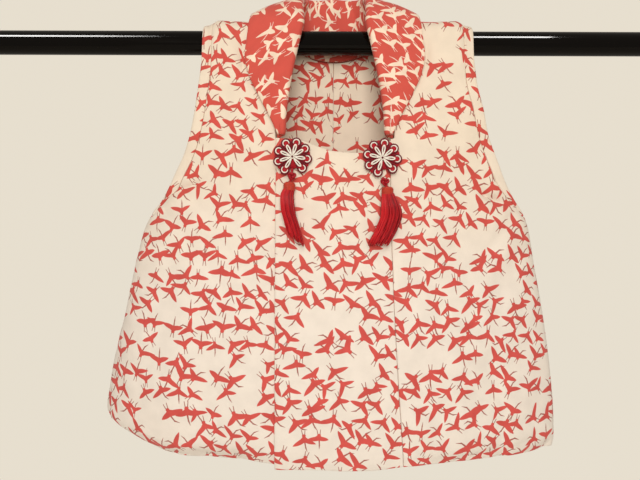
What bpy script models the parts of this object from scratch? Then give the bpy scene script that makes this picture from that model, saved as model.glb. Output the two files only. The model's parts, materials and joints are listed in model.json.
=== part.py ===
"""A child's wadded hifu vest, hung by its shoulders on a round rod.

The origin is on the rod's axis at the vest's centre line. +X is the wearer's left, the front
faces -Y and +Z is up. All sizes are in metres.

The cloth is laid out in its own coordinates: x across the vest and drop along the cloth, 0 on the
shoulder ridge, negative down the front and positive down the back. surface() turns them into
places, and each piece is a patch of that surface made into a wall.
"""

import math
from collections import namedtuple

import bmesh
import bpy
import numpy as np
from mathutils import Matrix

# The rod.
ROD_RADIUS = 0.0125
ROD_HALF_LENGTH = 0.400
ROD_CHAMFER = 0.0008
ROD_SIDES = 48

# Cloth: two layers of crepe with wadding between them, thinner at seams and edges.
WALL = 0.005
COLLAR_WALL = 0.004
SEAM_GAP = 0.0003
EDGE_THINNING = 0.55
EDGE_MARGIN = 0.004

# The vest's main sizes.
SHOULDER_RADIUS = ROD_RADIUS + SEAM_GAP + WALL / 2
QUARTER = SHOULDER_RADIUS * math.pi / 2
HEM_Z = -0.444
UNDERARM_Z = -0.190
CLOSED_Z = -0.1915
CHEST_ROWS = 7
NECK_ROWS = 17
ARMHOLE_ROWS = 11
SHOULDER_ROWS = 9
BODY_COLUMNS = 11
FRONT_EDGE_TOP_Z = -0.112
BACK_NECK_Z = -0.014
NECK_HALF_WIDTH = 0.054
SIDE_FLATNESS = 2.4

# How far the hem rises to the side seam of each side, and over which stretch of its width.
HEM_RISE = {-1: 0.025, 1: 0.003}
RISE_START = 0.35
RISE_END = 0.95

# The wearer's left front lies over the right one: by how much, and where that starts to fade.
LAYER_STEP = 0.0058
RAISED_X = 0.060
RAISED_END_X = 0.150
RAISED_Z = -0.140
RAISED_TOP_Z = -0.106

# The front bands: half width of each at its seam, and where the free edges end.
BAND_SEAM_X = 0.0556
BAND_SEAM_FLARE = 0.014
BAND_FREE_X = -0.0600
UNDER_FREE_X = 0.0480
UNDER_TOP_Z = -0.136
BAND_EDGE_THINNING = 0.7
# How much lower the overlapping band hangs, and the share of its width where that comes in.
BAND_HANG = 0.0022
HANG_SPREAD = 0.3

# The armhole bands.
ARMHOLE_BAND = 0.0115
ARMHOLE_BAND_TIP = 0.003
ARMHOLE_TAPER = 0.035

# The cord flowers: petals on a round backing, each a loop of cord with a drop-shaped loop in it.
PETALS = 8
FLOWER_RADIUS = 0.0193
PETAL_RADIUS = 0.0048
PETAL_CENTRE = FLOWER_RADIUS - PETAL_RADIUS
BACKING_RADIUS = 0.0118
BACKING_THICKNESS = 0.0024
PETAL_THICKNESS = 0.0020
LOOP_HEIGHT = 0.0009
DROP_HEIGHT = 0.0014
DROP_LENGTH = 0.0140
DROP_HALF_WIDTH = 0.0022

# The knots, and the cord above and below each.
KNOT_HALF_HEIGHT = 0.0040
KNOT_RADIUS = 0.0040
KNOT_LOBES = 0.16
KNOT_TWIST = 1.2
KNOT_SIDES = 12
KNOT_ROWS = 9
TIE_RADIUS = 0.0014

# The tassels: a wrapped head and its strands, which swell a little below it.
HEAD_HALF_WIDTH = 0.0062
HEAD_HALF_DEPTH = 0.0048
HEAD_SIDES = 16
STRAND_SIDES = 3
STRAND_STEPS = 5
STRAND_RADIUS = 0.0006
STRAND_SWELL = 0.00015
ROOT_HALF_WIDTH = 0.0052
ROOT_HALF_DEPTH = 0.0038
SKIRT_HALF_DEPTH = 0.0060
SKIRT_BACK = 0.0069
SKIRT_REACH = 0.0090
ROOT_DOWN = 0.4
STRAND_UNEVEN = 0.004
STRAND_SEED = 7

# A small step for slopes.
STEP = 0.0001


# Rows from the hem up to the rod, for the middle of the wall. side_x is half the width, front_y and
# back_y are the depths at the centre, side_y is the depth at the side, opening is how far the front
# and back stand apart from it there, and closed is 1 where the side seam is shut.
Section = namedtuple("Section", "z side_x front_y side_y opening back_y closed")
RIGHT_SECTIONS = (
    Section(-0.444, 0.240, -0.0425, 0.0200, 0.0, 0.051, 1.0),
    Section(-0.430, 0.247, -0.0440, 0.0200, 0.0, 0.053, 1.0),
    Section(-0.403, 0.2512, -0.0445, 0.0180, 0.0, 0.053, 1.0),
    Section(-0.359, 0.2443, -0.0440, 0.0140, 0.0, 0.051, 1.0),
    Section(-0.300, 0.2292, -0.0430, 0.0090, 0.0, 0.048, 1.0),
    Section(-0.238, 0.214, -0.0415, 0.0030, 0.0, 0.044, 1.0),
    Section(-0.203, 0.204, -0.0405, 0.0000, 0.0, 0.041, 1.0),
    Section(-0.186, 0.195, -0.0400, 0.0, 0.0030, 0.040, 0.5),
    Section(-0.168, 0.181, -0.0395, 0.0, 0.0120, 0.038, 0.0),
    Section(-0.148, 0.169, -0.0385, 0.0, 0.0185, 0.037, 0.0),
    Section(-0.111, 0.153, -0.0360, 0.0, 0.0225, 0.034, 0.0),
    Section(-0.080, 0.147, -0.0320, 0.0, 0.0225, 0.031, 0.0),
    Section(-0.048, 0.143, -0.0260, 0.0, 0.0205, 0.026, 0.0),
    Section(-0.020, 0.141, -0.0185, 0.0, 0.0172, 0.0185, 0.0),
    Section(0.0, 0.141, -SHOULDER_RADIUS, 0.0, SHOULDER_RADIUS, SHOULDER_RADIUS, 0.0),
)
LEFT_SECTIONS = (
    Section(-0.444, 0.238, -0.0425, 0.0020, 0.0, 0.051, 1.0),
    Section(-0.430, 0.2408, -0.0440, 0.0020, 0.0, 0.053, 1.0),
    Section(-0.403, 0.2402, -0.0445, 0.0020, 0.0, 0.053, 1.0),
    Section(-0.359, 0.2364, -0.0440, 0.0015, 0.0, 0.051, 1.0),
    Section(-0.300, 0.2284, -0.0430, 0.0010, 0.0, 0.048, 1.0),
    Section(-0.238, 0.2170, -0.0415, 0.0000, 0.0, 0.044, 1.0),
    Section(-0.203, 0.2112, -0.0405, 0.0000, 0.0, 0.041, 1.0),
    Section(-0.186, 0.2042, -0.0400, 0.0, 0.0030, 0.040, 0.5),
    Section(-0.168, 0.1908, -0.0395, 0.0, 0.0110, 0.038, 0.0),
    Section(-0.148, 0.1785, -0.0385, 0.0, 0.0180, 0.037, 0.0),
    Section(-0.111, 0.1634, -0.0360, 0.0, 0.0220, 0.034, 0.0),
    Section(-0.080, 0.1562, -0.0320, 0.0, 0.0225, 0.031, 0.0),
    Section(-0.048, 0.150, -0.0260, 0.0, 0.0205, 0.026, 0.0),
    Section(-0.020, 0.148, -0.0185, 0.0, 0.0172, 0.0185, 0.0),
    Section(0.0, 0.148, -SHOULDER_RADIUS, 0.0, SHOULDER_RADIUS, SHOULDER_RADIUS, 0.0),
)
# How round each side is: 2 gives an ellipse's end, and nearer 1 a sharper one.
SIDE_ROUNDNESS = {-1: 2.0, 1: 1.55}

# How far the cloth stands off the rod along a shoulder, by its share of the half width.
Lift = namedtuple("Lift", "share height")
SHOULDER_LIFT = (
    Lift(0.0, 0.0060),
    Lift(0.45, 0.0060),
    Lift(0.70, 0.0040),
    Lift(0.88, 0.0050),
    Lift(0.975, 0.0),
    Lift(1.0, 0.0),
)
LIFT_FADE_Z = -0.060

# The front neckline, from the ridge down.
Neck = namedtuple("Neck", "z x")
FRONT_NECK = (
    Neck(-0.112, 0.0605),
    Neck(-0.085, 0.0625),
    Neck(-0.055, 0.0640),
    Neck(-0.025, 0.0645),
    Neck(0.0, 0.0615),
    Neck(0.024, NECK_HALF_WIDTH),
)

# The upper edge of the front band that overlaps.
Top = namedtuple("Top", "x z")
OVERLAP_TOP = (
    Top(-0.060, -0.1125),
    Top(-0.040, -0.1140),
    Top(0.000, -0.1265),
    Top(0.030, -0.1280),
    Top(0.056, -0.1275),
)

# The collar from the centre of the back (at 0) over the shoulder (at 0.5) to its front tip (at 1).
# fold is the roll line, edge is the fall's free edge on the cloth, and out is how far off it.
Collar = namedtuple("Collar", "at fold_x fold_y fold_z edge_x edge_drop out")
COLLAR_ROWS = (
    Collar(0.00, 0.0000, 0.0310, 0.0600, 0.0000, 0.0470, 0.0085),
    Collar(0.15, 0.0160, 0.0305, 0.0595, 0.0310, 0.0455, 0.0085),
    Collar(0.30, 0.0290, 0.0230, 0.0570, 0.0620, 0.0370, 0.0085),
    Collar(0.42, 0.0345, 0.0110, 0.0540, 0.0810, 0.0170, 0.0082),
    Collar(0.50, 0.0360, 0.0000, 0.0490, 0.0870, 0.0000, 0.0076),
    Collar(0.59, 0.0345, -0.0215, 0.0180, 0.0910, -0.0260, 0.0066),
    Collar(0.66, 0.0400, -0.0260, -0.0130, 0.0935, -0.0480, 0.0062),
    Collar(0.75, 0.0455, -0.0300, -0.0400, 0.0895, -0.0680, 0.0060),
    Collar(0.85, 0.0498, -0.0342, -0.0690, 0.0765, -0.0960, 0.0060),
    Collar(0.93, 0.0520, -0.0375, -0.0910, 0.0660, -0.1160, 0.0060),
    Collar(1.00, 0.0523, -0.0390, -0.1090, 0.0580, -0.1335, 0.0062),
)
FOLD_RADIUS = COLLAR_WALL / 2 + 0.0007
FALL_FULLNESS = 0.0025
STAND_START = 0.0016
COLLAR_EDGE_THINNING = 0.6

# The profile of a head, from its top at 0 to its foot at 1.
Head = namedtuple("Head", "down width")
HEAD_PROFILE = (
    Head(0.00, 0.55),
    Head(0.12, 0.86),
    Head(0.35, 1.00),
    Head(0.60, 0.97),
    Head(0.85, 0.99),
    Head(1.00, 0.94),
)

# The rings of strands in a tassel: how far out each is, as a share of the outermost, and how many.
Ring = namedtuple("Ring", "share strands")
STRAND_RINGS = (Ring(0.32, 5), Ring(0.66, 11), Ring(1.0, 18))

# The middle of each skirt and half its width, from its root at 0 to its end at 1.
Skirt = namedtuple("Skirt", "down x half_width")
RIGHT_SKIRT = (
    Skirt(0.00, -0.0456, ROOT_HALF_WIDTH),
    Skirt(0.15, -0.0478, 0.0062),
    Skirt(0.40, -0.0468, 0.0066),
    Skirt(0.70, -0.0425, 0.0070),
    Skirt(1.00, -0.0382, 0.0072),
)
LEFT_SKIRT = (
    Skirt(0.00, 0.0518, ROOT_HALF_WIDTH),
    Skirt(0.15, 0.0536, 0.0078),
    Skirt(0.40, 0.0552, 0.0098),
    Skirt(0.70, 0.0505, 0.0100),
    Skirt(1.00, 0.0422, 0.0095),
)

# The ornaments. Each flower has a centre, a turn of its petals and the angle that the two petals
# beside the knot leave free. top_z is where the knot's cord starts.
Ornament = namedtuple("Ornament", "name x z turn knot_gap top_z knot_x knot_z head skirt")
# A tassel's head, half its height, where its skirt ends, and how much further down its outer side.
Tassel = namedtuple("Tassel", "x z half_height end_z slant")
ORNAMENTS = (
    Ornament(
        "right", -0.0427, -0.1333, 5, 72, -0.1450, -0.0431, -0.1525,
        Tassel(-0.0456, -0.1628, 0.0043, -0.2180, 0.0055), RIGHT_SKIRT,
    ),
    Ornament(
        "left", 0.0468, -0.1341, 13, 61, -0.1540, 0.0493, -0.1580,
        Tassel(0.0518, -0.1668, 0.0038, -0.2225, 0.0), LEFT_SKIRT,
    ),
)


def monotone(xs, ys, x):
    """A smooth curve through (xs, ys) that doesn't overshoot, read at x."""
    xs, ys = np.asarray(xs, float), np.asarray(ys, float)
    step = np.diff(xs)
    rise = np.diff(ys) / step
    slope = np.empty(len(xs))
    slope[0], slope[-1] = rise[0], rise[-1]
    before, after = rise[:-1], rise[1:]
    left, right = step[1:] * 2 + step[:-1], step[1:] + step[:-1] * 2
    turning = before * after <= 0
    safe_before = np.where(turning, 1.0, before)
    safe_after = np.where(turning, 1.0, after)
    mean = (left + right) / (left / safe_before + right / safe_after)
    slope[1:-1] = np.where(turning, 0.0, mean)
    x = np.clip(x, xs[0], xs[-1])
    i = np.clip(np.searchsorted(xs, x) - 1, 0, len(step) - 1)
    t = (x - xs[i]) / step[i]
    return (
        ys[i] * (1 + 2 * t) * (1 - t) ** 2
        + slope[i] * step[i] * t * (1 - t) ** 2
        + ys[i + 1] * t**2 * (3 - 2 * t)
        + slope[i + 1] * step[i] * t**2 * (t - 1)
    )


def column(table, key, name, x):
    """A table's column as a smooth function of its key column."""
    return monotone([getattr(row, key) for row in table], [getattr(row, name) for row in table], x)


def smooth_step(x, start, end):
    t = np.clip((x - start) / (end - start), 0, 1)
    return t * t * (3 - 2 * t)


def front(z):
    """The drop of a height on the front."""
    return z - QUARTER


def back(z):
    """The drop of a height on the back."""
    return QUARTER - z


def height(drop):
    """The height below the rod's axis for a drop, or 0 over the shoulder."""
    return np.minimum(0, QUARTER - np.abs(drop))


def side_x(side, drop):
    """Half the width of the cloth at a drop on one side (-1 is the wearer's right)."""
    table = RIGHT_SECTIONS if side < 0 else LEFT_SECTIONS
    return column(table, "z", "side_x", height(drop))


def cloth(side, share, drop):
    """Places of the middle of the cloth for share, the part of half the width, and drop."""
    table = RIGHT_SECTIONS if side < 0 else LEFT_SECTIONS
    z = height(drop)
    is_front = drop < 0
    facing = np.where(is_front, -1, 1)
    closed = column(table, "z", "closed", z)
    edge = column(table, "z", "side_y", z) + facing * (column(table, "z", "opening", z) + SEAM_GAP / 2)
    middle = np.where(is_front, column(table, "z", "front_y", z), column(table, "z", "back_y", z))
    share = np.clip(share, 0, 1)
    roundness = 1 + closed * (SIDE_ROUNDNESS[side] - 1)
    bulge = np.clip(1 - share**SIDE_FLATNESS, 0, 1) ** (1 / roundness)
    lift = column(SHOULDER_LIFT, "share", "height", share)
    y = edge + (middle - edge) * bulge + facing * lift * smooth_step(z, LIFT_FADE_Z, 0)
    angle = drop / SHOULDER_RADIUS
    over = np.abs(drop) < QUARTER
    radius = SHOULDER_RADIUS + lift
    y = np.where(over, radius * np.sin(angle), y)
    z = np.where(over, radius * np.cos(angle), z)
    return np.stack([side * share * side_x(side, drop), y, z], axis=-1)


def side_surface(side, x, drop):
    """Places for x, the distance from the centre line, on one side."""
    return cloth(side, x / side_x(side, drop), drop)


def surface(x, drop):
    """Places of the middle of the cloth for any x, on either side of the centre line."""
    x, drop = np.broadcast_arrays(np.asarray(x, float), np.asarray(drop, float))
    right, left = side_surface(-1, np.abs(x), drop), side_surface(1, np.abs(x), drop)
    return np.where((x < 0)[..., None], right, left)


def raised(x, drop):
    """How far forward the wearer's left front lies, to pass over the right front."""
    beside = 1 - smooth_step(x, RAISED_X, RAISED_END_X)
    below = 1 - smooth_step(height(drop), RAISED_Z, RAISED_TOP_Z)
    return LAYER_STEP * beside * below * (drop < 0)


def unit(v):
    return v / np.linalg.norm(v, axis=-1, keepdims=True)


def normals(place, u, drop, step_u, end_weight=None):
    """Unit normals of place(u, drop). Where end_weight is 1, the last column faces straight out."""
    along = place(u + step_u, drop) - place(u - step_u, drop)
    down = place(u, drop + STEP) - place(u, drop - STEP)
    if end_weight is not None:
        ahead = np.array([0.0, 1.0, 0.0]) * np.where(drop[:, -1:] < 0, 1, -1)
        along[:, -1] = unit(along[:, -1]) * (1 - end_weight[:, None]) + ahead * end_weight[:, None]
    return unit(np.cross(along, down))


def material(name, colour, roughness, metallic=0.0):
    made = bpy.data.materials.new(name)
    made.use_nodes = True
    shader = made.node_tree.nodes["Principled BSDF"]
    shader.inputs["Base Color"].default_value = (*colour, 1)
    shader.inputs["Roughness"].default_value = roughness
    shader.inputs["Metallic"].default_value = metallic
    return made


def add_object(name, mesh, look):
    piece = bpy.data.objects.new(name, mesh)
    bpy.context.scene.collection.objects.link(piece)
    mesh.materials.append(look)
    mesh.shade_smooth()
    mesh.set_sharp_from_angle(angle=math.radians(50))
    return piece


def closed_mesh(name, vertices, faces):
    """A mesh with its faces pointing out."""
    mesh = bpy.data.meshes.new(name)
    mesh.from_pydata([tuple(v) for v in vertices], [], faces)
    shape = bmesh.new()
    shape.from_mesh(mesh)
    bmesh.ops.recalc_face_normals(shape, faces=shape.faces)
    if shape.calc_volume(signed=True) < 0:
        bmesh.ops.reverse_faces(shape, faces=shape.faces)
    shape.to_mesh(mesh)
    shape.free()
    return mesh


def rings_mesh(name, rings):
    """A closed mesh through rings of points, with a flat face over the first and the last."""
    count, size = rings.shape[:2]
    faces = [tuple(range(size)), tuple((count - 1) * size + i for i in range(size))]
    for i in range(count - 1):
        for j in range(size):
            k = (j + 1) % size
            faces.append((i * size + j, i * size + k, (i + 1) * size + k, (i + 1) * size + j))
    return closed_mesh(name, rings.reshape(-1, 3), faces)


def wall_mesh(name, points, out, thickness):
    """A closed wall about a grid of middle points, with a rim all round.

    The rims down the sides are cut into triangles the same way on every piece, so that two rims
    that twist beside each other at a seam stay parallel.
    """
    rows, columns = points.shape[:2]
    half = out * thickness[..., None] / 2
    vertices = np.concatenate([(points + half).reshape(-1, 3), (points - half).reshape(-1, 3)])
    inner = rows * columns

    def index(i, j):
        return i * columns + j

    faces = []
    for i in range(rows - 1):
        for j in range(columns - 1):
            quad = (index(i, j), index(i, j + 1), index(i + 1, j + 1), index(i + 1, j))
            faces.append(quad)
            faces.append(tuple(v + inner for v in reversed(quad)))
    for j in range(columns - 1):
        for i in (0, rows - 1):
            faces.append((index(i, j), index(i, j + 1), index(i, j + 1) + inner, index(i, j) + inner))
    for i in range(rows - 1):
        for j in (0, columns - 1):
            upper, lower = index(i, j), index(i + 1, j)
            faces.append((upper, upper + inner, lower + inner))
            faces.append((upper, lower + inner, lower))
    return closed_mesh(name, vertices, faces)


def thinned_edges(rows, columns, wall, thin=EDGE_THINNING):
    """A grid of thicknesses, thinner round the rim, where the wadding is sewn flat."""
    thickness = np.full((rows, columns), wall)
    thickness[[0, -1], :] *= thin
    thickness[1:-1, [0, -1]] *= thin
    return thickness


def margins(count):
    """count + 1 shares from 0 to 1, with the first and last steps short."""
    inner = np.linspace(0, 1, count - 1)
    inner = inner * (1 - 2 * EDGE_MARGIN / 0.15) + EDGE_MARGIN / 0.15
    return np.concatenate([[0], inner, [1]])


def rows_between(start, end, count):
    """count drops from start to end, without the end."""
    return start + (end - start) * np.arange(count) / count


def band_width(drop):
    """Width of the armhole band at a drop, narrow where it meets the side seam."""
    above = height(drop) - UNDERARM_Z
    return ARMHOLE_BAND_TIP + (ARMHOLE_BAND - ARMHOLE_BAND_TIP) * smooth_step(above, 0, ARMHOLE_TAPER)


def armhole_drops():
    """The rows that the body and its armhole band share, from underarm to underarm."""
    rise = (np.arange(ARMHOLE_ROWS) / ARMHOLE_ROWS) ** 1.6
    side = back(UNDERARM_Z * (1 - rise))
    return np.concatenate([-side, np.linspace(-QUARTER, QUARTER, SHOULDER_ROWS), side[::-1]])


def front_seam_x(side, z):
    """The seam between the front and its band, which runs outwards towards the hem on the left."""
    if side < 0:
        return np.full_like(z, BAND_SEAM_X - 0.001)
    return BAND_SEAM_X + BAND_SEAM_FLARE * ((FRONT_EDGE_TOP_Z - z) / (FRONT_EDGE_TOP_Z - HEM_Z)) ** 2


def neckline(at):
    """x and drop of the neck seam, from the centre of the back at 0 to the front tip at 1."""
    turn = (1 - 2 * np.clip(at, 0, 0.5)) * math.pi / 2
    back_x, back_drop = NECK_HALF_WIDTH * np.cos(turn), back(BACK_NECK_Z) * np.sin(turn)
    down = np.clip(2 * at - 1, 0, 1) * -front(FRONT_EDGE_TOP_Z)
    front_x = column(FRONT_NECK, "z", "x", QUARTER - down)
    return np.where(at < 0.5, back_x, front_x), np.where(at < 0.5, back_drop, -down)


def body_edges(side):
    """x and drop of the body's inner edge and its outer edge, row by row from front to back hem."""
    low_z = np.concatenate([[HEM_Z, HEM_Z + EDGE_MARGIN], np.linspace(HEM_Z + 0.016, CLOSED_Z, 9)])
    arm = armhole_drops()
    chest = rows_between(UNDERARM_Z, FRONT_EDGE_TOP_Z, CHEST_ROWS)
    neck_x, neck_drop = neckline(np.linspace(1, 0, NECK_ROWS))
    upper_back = rows_between(UNDERARM_Z, BACK_NECK_Z, len(arm) - CHEST_ROWS - NECK_ROWS)[::-1]
    inner_drop = np.concatenate([front(low_z), front(chest), neck_drop, back(upper_back), back(low_z[::-1])])
    front_x = front_seam_x(side, np.concatenate([low_z, chest]))
    back_x = np.zeros(len(upper_back) + len(low_z))
    inner_x = np.concatenate([front_x, neck_x, back_x]) + SEAM_GAP / 2
    outer_drop = np.concatenate([front(low_z), arm, back(low_z[::-1])])
    inset = np.concatenate([0 * low_z, band_width(arm) + SEAM_GAP / 2, 0 * low_z])
    return inner_x, inner_drop, side_x(side, outer_drop) - inset, outer_drop


def hem_rise(side, drop, along):
    """How much shorter the cloth is towards the side seam, most at the hem."""
    down = np.clip((CLOSED_Z - height(drop)) / (CLOSED_Z - HEM_Z), 0, 1) ** 2
    return np.sign(drop) * HEM_RISE[side] * down * smooth_step(along, RISE_START, RISE_END)


def body(side, name, look):
    """One half of the vest: front, shoulder and back in one length of cloth."""
    inner_x, inner_drop, outer_x, outer_drop = body_edges(side)
    along = margins(BODY_COLUMNS)
    width = side_x(side, outer_drop)
    start = np.arcsin(inner_x / side_x(side, inner_drop))
    end = np.arcsin(outer_x / width)
    drop = inner_drop[:, None] + (outer_drop - inner_drop)[:, None] * along
    drop = drop - hem_rise(side, drop, along)
    share = np.sin(start[:, None] + (end - start)[:, None] * along)

    def place(u, v):
        points = cloth(side, u, v)
        if side > 0:
            points[..., 1] -= raised(points[..., 0], v)
        return points

    table = RIGHT_SECTIONS if side < 0 else LEFT_SECTIONS
    closed = column(table, "z", "closed", height(outer_drop)) * (outer_x == width)
    out = normals(place, share, drop, STEP, closed)
    points = place(share, drop)
    thickness = thinned_edges(*points.shape[:2], WALL)
    return add_object(name, wall_mesh(name, points, out, thickness), look)


def front_band(name, seam_side, free_x, top, forward, hang, look):
    """A straight band down the front, from its seam to its free edge.

    top gives its upper edge, forward how far out it lies, and hang how much lower it hangs.
    """
    across, up = margins(9), margins(14)[:, None]
    guess = seam_side * BAND_SEAM_X + (free_x - seam_side * BAND_SEAM_X) * across
    low_z = HEM_Z - hang * smooth_step(across, 0, HANG_SPREAD)
    z = low_z + (top(guess) - low_z) * up
    seam = seam_side * (front_seam_x(seam_side, z) - SEAM_GAP / 2)
    x = seam + (free_x - seam) * across

    def place(u, v):
        points = surface(u, v)
        points[..., 1] -= forward
        return points

    out = normals(place, x, front(z), STEP)
    points = place(x, front(z))
    thickness = thinned_edges(*points.shape[:2], WALL, BAND_EDGE_THINNING)
    return add_object(name, wall_mesh(name, points, out, thickness), look)


def overlap_top(x):
    """The sloping upper edge of the band that overlaps, higher at its free edge."""
    return monotone([row.x for row in OVERLAP_TOP], [row.z for row in OVERLAP_TOP], x)


def under_top(x):
    return np.full_like(x, UNDER_TOP_Z)


def armhole_band(side, name, look):
    """The narrow band that edges an armhole, from underarm to underarm over the shoulder."""
    drop = armhole_drops()
    across = np.array([0.0, 0.3, 0.75, 1.0])
    edge, width = side_x(side, drop), band_width(drop)
    x = (edge - width + SEAM_GAP / 2)[:, None] + (width - SEAM_GAP / 2)[:, None] * across
    share = x / edge[:, None]
    drop = np.repeat(drop[:, None], len(across), axis=1)

    def place(u, v):
        return cloth(side, u, v)

    thickness = np.full(share.shape, WALL) * np.array([EDGE_THINNING, 0.9, 0.9, EDGE_THINNING])
    mesh = wall_mesh(name, place(share, drop), normals(place, share, drop, STEP), thickness)
    return add_object(name, mesh, look)


def collar_half():
    """The middle of the folded collar, row by row from the centre of the back to the front tip."""
    at = np.concatenate([np.linspace(0, 0.5, 9)[:-1], np.linspace(0.5, 1, 11)])
    seam = side_surface(1, *neckline(at))

    def read(name):
        return column(COLLAR_ROWS, "at", name, at)

    fold = np.stack([read("fold_x"), read("fold_y"), read("fold_z")], axis=1)
    edge_x, edge_drop = read("edge_x"), read("edge_drop")

    def place(u, v):
        return side_surface(1, u, v)

    edge = place(edge_x, edge_drop)
    edge = edge + normals(place, edge_x, edge_drop, STEP) * read("out")[:, None]
    path = np.gradient(fold, axis=0)
    path[0] = (1, 0, 0)
    rise = unit(fold - seam)
    outward = unit(np.cross(rise, path))
    rise = unit(np.cross(path, outward))
    seam = seam + rise * STAND_START
    base = fold - rise * FOLD_RADIUS - outward * FOLD_RADIUS
    middle = [seam, seam + (base - seam) * 0.5, base]
    for angle in np.radians((45, 90, 135)):
        around = rise * math.sin(angle) + outward * (1 - math.cos(angle))
        middle.append(base + around * FOLD_RADIUS)
    far = base + outward * 2 * FOLD_RADIUS
    middle.append(far)
    full = np.minimum(1, np.linalg.norm(edge - far, axis=1) / 0.040)[:, None]
    for share in (0.2, 0.5, 0.8, 1.0):
        swell = outward * FALL_FULLNESS * math.sin(math.pi * share) * full
        middle.append(far + (edge - far) * share + swell)
    return np.stack(middle, axis=1)


def collar(look):
    """The collar, one strip that stands up from the neck seam and folds over outwards."""
    half = collar_half()
    mirrored = (half * np.array([-1, 1, 1]))[:0:-1]
    middle = np.concatenate([mirrored, half])
    out = unit(np.cross(np.gradient(middle, axis=0), np.gradient(middle, axis=1)))
    thickness = np.full(middle.shape[:2], COLLAR_WALL)
    thickness[:, [0, -1]] *= COLLAR_EDGE_THINNING
    offset = out * thickness[..., None] / 2
    rings = np.concatenate([middle + offset, (middle - offset)[:, ::-1]], axis=1)
    return add_object("collar", rings_mesh("collar", rings), look)


def rod(look):
    shape = bmesh.new()
    size = {"radius1": ROD_RADIUS, "radius2": ROD_RADIUS, "depth": 2 * ROD_HALF_LENGTH}
    bmesh.ops.create_cone(shape, cap_ends=True, segments=ROD_SIDES, **size)
    caps = [edge for edge in shape.edges if any(len(face.verts) > 4 for face in edge.link_faces)]
    bmesh.ops.bevel(shape, geom=caps, offset=ROD_CHAMFER, segments=1, affect="EDGES")
    bmesh.ops.rotate(shape, verts=shape.verts, matrix=Matrix.Rotation(math.pi / 2, 3, "Y"))
    mesh = bpy.data.meshes.new("rod")
    shape.to_mesh(mesh)
    shape.free()
    return add_object("rod", mesh, look)


def front_face(x, z):
    """How far forward the face of the wearer's left front lies at x and z."""
    drop = front(np.asarray(z, float))
    points = surface(x, drop)
    return points[..., 1] - raised(np.abs(points[..., 0]), drop) - WALL / 2


def seat(x, z, half_width, half_height):
    """Where the back of a flat piece lies, just clear of the cloth under all of it."""
    across = np.linspace(-half_width, half_width, 5)
    up = np.linspace(-half_height, half_height, 5)[:, None]
    return front_face(x + across, z + up).min() - SEAM_GAP


def petal_angles(ornament):
    """The directions of the petals, with a wider gap at the bottom, where the knot hangs."""
    step = (360 - ornament.knot_gap) / (PETALS - 1)
    first = -90 + ornament.knot_gap / 2 + ornament.turn
    return [first + step * i for i in range(PETALS)]


def flower_radius(off):
    """The outline's radius at an angle off the middle of a petal."""
    reach = PETAL_RADIUS**2 - (PETAL_CENTRE * np.sin(off)) ** 2
    petal = PETAL_CENTRE * np.cos(off) + np.sqrt(np.maximum(reach, 0))
    return np.where(reach >= 0, petal, BACKING_RADIUS)


def flower_relief(radius, off):
    """How far the cords stand up: the loop round a petal and the drop-shaped loop in it."""
    along, across = radius * np.cos(off), np.abs(radius * np.sin(off))
    on_petal = across < PETAL_RADIUS
    rim = np.hypot(along - PETAL_CENTRE, across) / PETAL_RADIUS
    loop = LOOP_HEIGHT * smooth_step(rim, 0.35, 0.8) * (along > PETAL_CENTRE * 0.7)
    share = np.clip(along / DROP_LENGTH, 0, 1)
    half = DROP_HALF_WIDTH * np.sin(math.pi * share**1.4) + 0.0004
    drop = DROP_HEIGHT * np.clip(1 - (across / half) ** 2, 0, 1) * (share < 1)
    return on_petal * (PETAL_THICKNESS + np.maximum(loop, drop))


def flower(ornament, look):
    """A rosette of cord petals on a smaller round backing, flat behind."""
    edge = math.asin(PETAL_RADIUS / PETAL_CENTRE)
    offs, around = [], []
    for petal in petal_angles(ornament):
        for share in (-1.03, -0.998, -0.75, -0.32, 0, 0.32, 0.75, 0.998, 1.03):
            offs.append(edge * share)
            around.append(math.radians(petal) + edge * share)
    offs, around = np.array(offs), np.array(around)
    outline = flower_radius(offs)
    rings = []
    back_y = seat(ornament.x, ornament.z, BACKING_RADIUS, BACKING_RADIUS)

    def ring(radius, rise):
        x, z = ornament.x + radius * np.cos(around), ornament.z + radius * np.sin(around)
        rings.append(np.stack([x, back_y - rise, z], axis=-1))

    backing = np.minimum(outline, BACKING_RADIUS)
    ring(backing, 0 * outline)
    ring(backing, 0 * outline + BACKING_THICKNESS * 0.98)
    ring(outline, 0 * outline + BACKING_THICKNESS)
    for share in (1.0, 0.92, 0.78, 0.62, 0.42, 0.16):
        radius = outline * share
        inset = 0.75 if share == 1.0 else 1.0
        ring(radius, BACKING_THICKNESS + 0.0002 + flower_relief(radius, offs) * inset)
    name = "flower_" + ornament.name
    return add_object(name, rings_mesh(name, np.array(rings)), look)


def knot(ornament, look):
    """The twisted two-lobed knot below a flower, with the cord that ties it above and below."""
    top, foot = ornament.top_z, ornament.head.z + ornament.head.half_height + SEAM_GAP
    down = np.linspace(0, math.pi, KNOT_ROWS)[1:-1]
    z = np.concatenate([[top], ornament.knot_z + KNOT_HALF_HEIGHT * np.cos(down), [foot]])
    radius = np.concatenate([[0], KNOT_RADIUS * np.sin(down), [0]])
    x = np.interp(z, [foot, ornament.knot_z, top], [ornament.head.x, ornament.knot_x, ornament.x])
    turn = np.arange(KNOT_SIDES) * 2 * math.pi / KNOT_SIDES
    twist = KNOT_TWIST * (z - ornament.knot_z) / KNOT_HALF_HEIGHT
    lobes = 1 + KNOT_LOBES * np.cos(2 * (turn + twist[:, None]))
    radius = np.maximum(radius[:, None] * lobes, TIE_RADIUS)
    reach = KNOT_RADIUS * (1 + KNOT_LOBES)
    y = seat(ornament.knot_x, ornament.knot_z, reach, reach) - reach
    across, depth = radius * np.cos(turn), radius * np.sin(turn)
    rings = np.stack([x[:, None] + across, y + depth, 0 * radius + z[:, None]], axis=-1)
    name = "knot_" + ornament.name
    return add_object(name, rings_mesh(name, rings), look)


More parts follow.
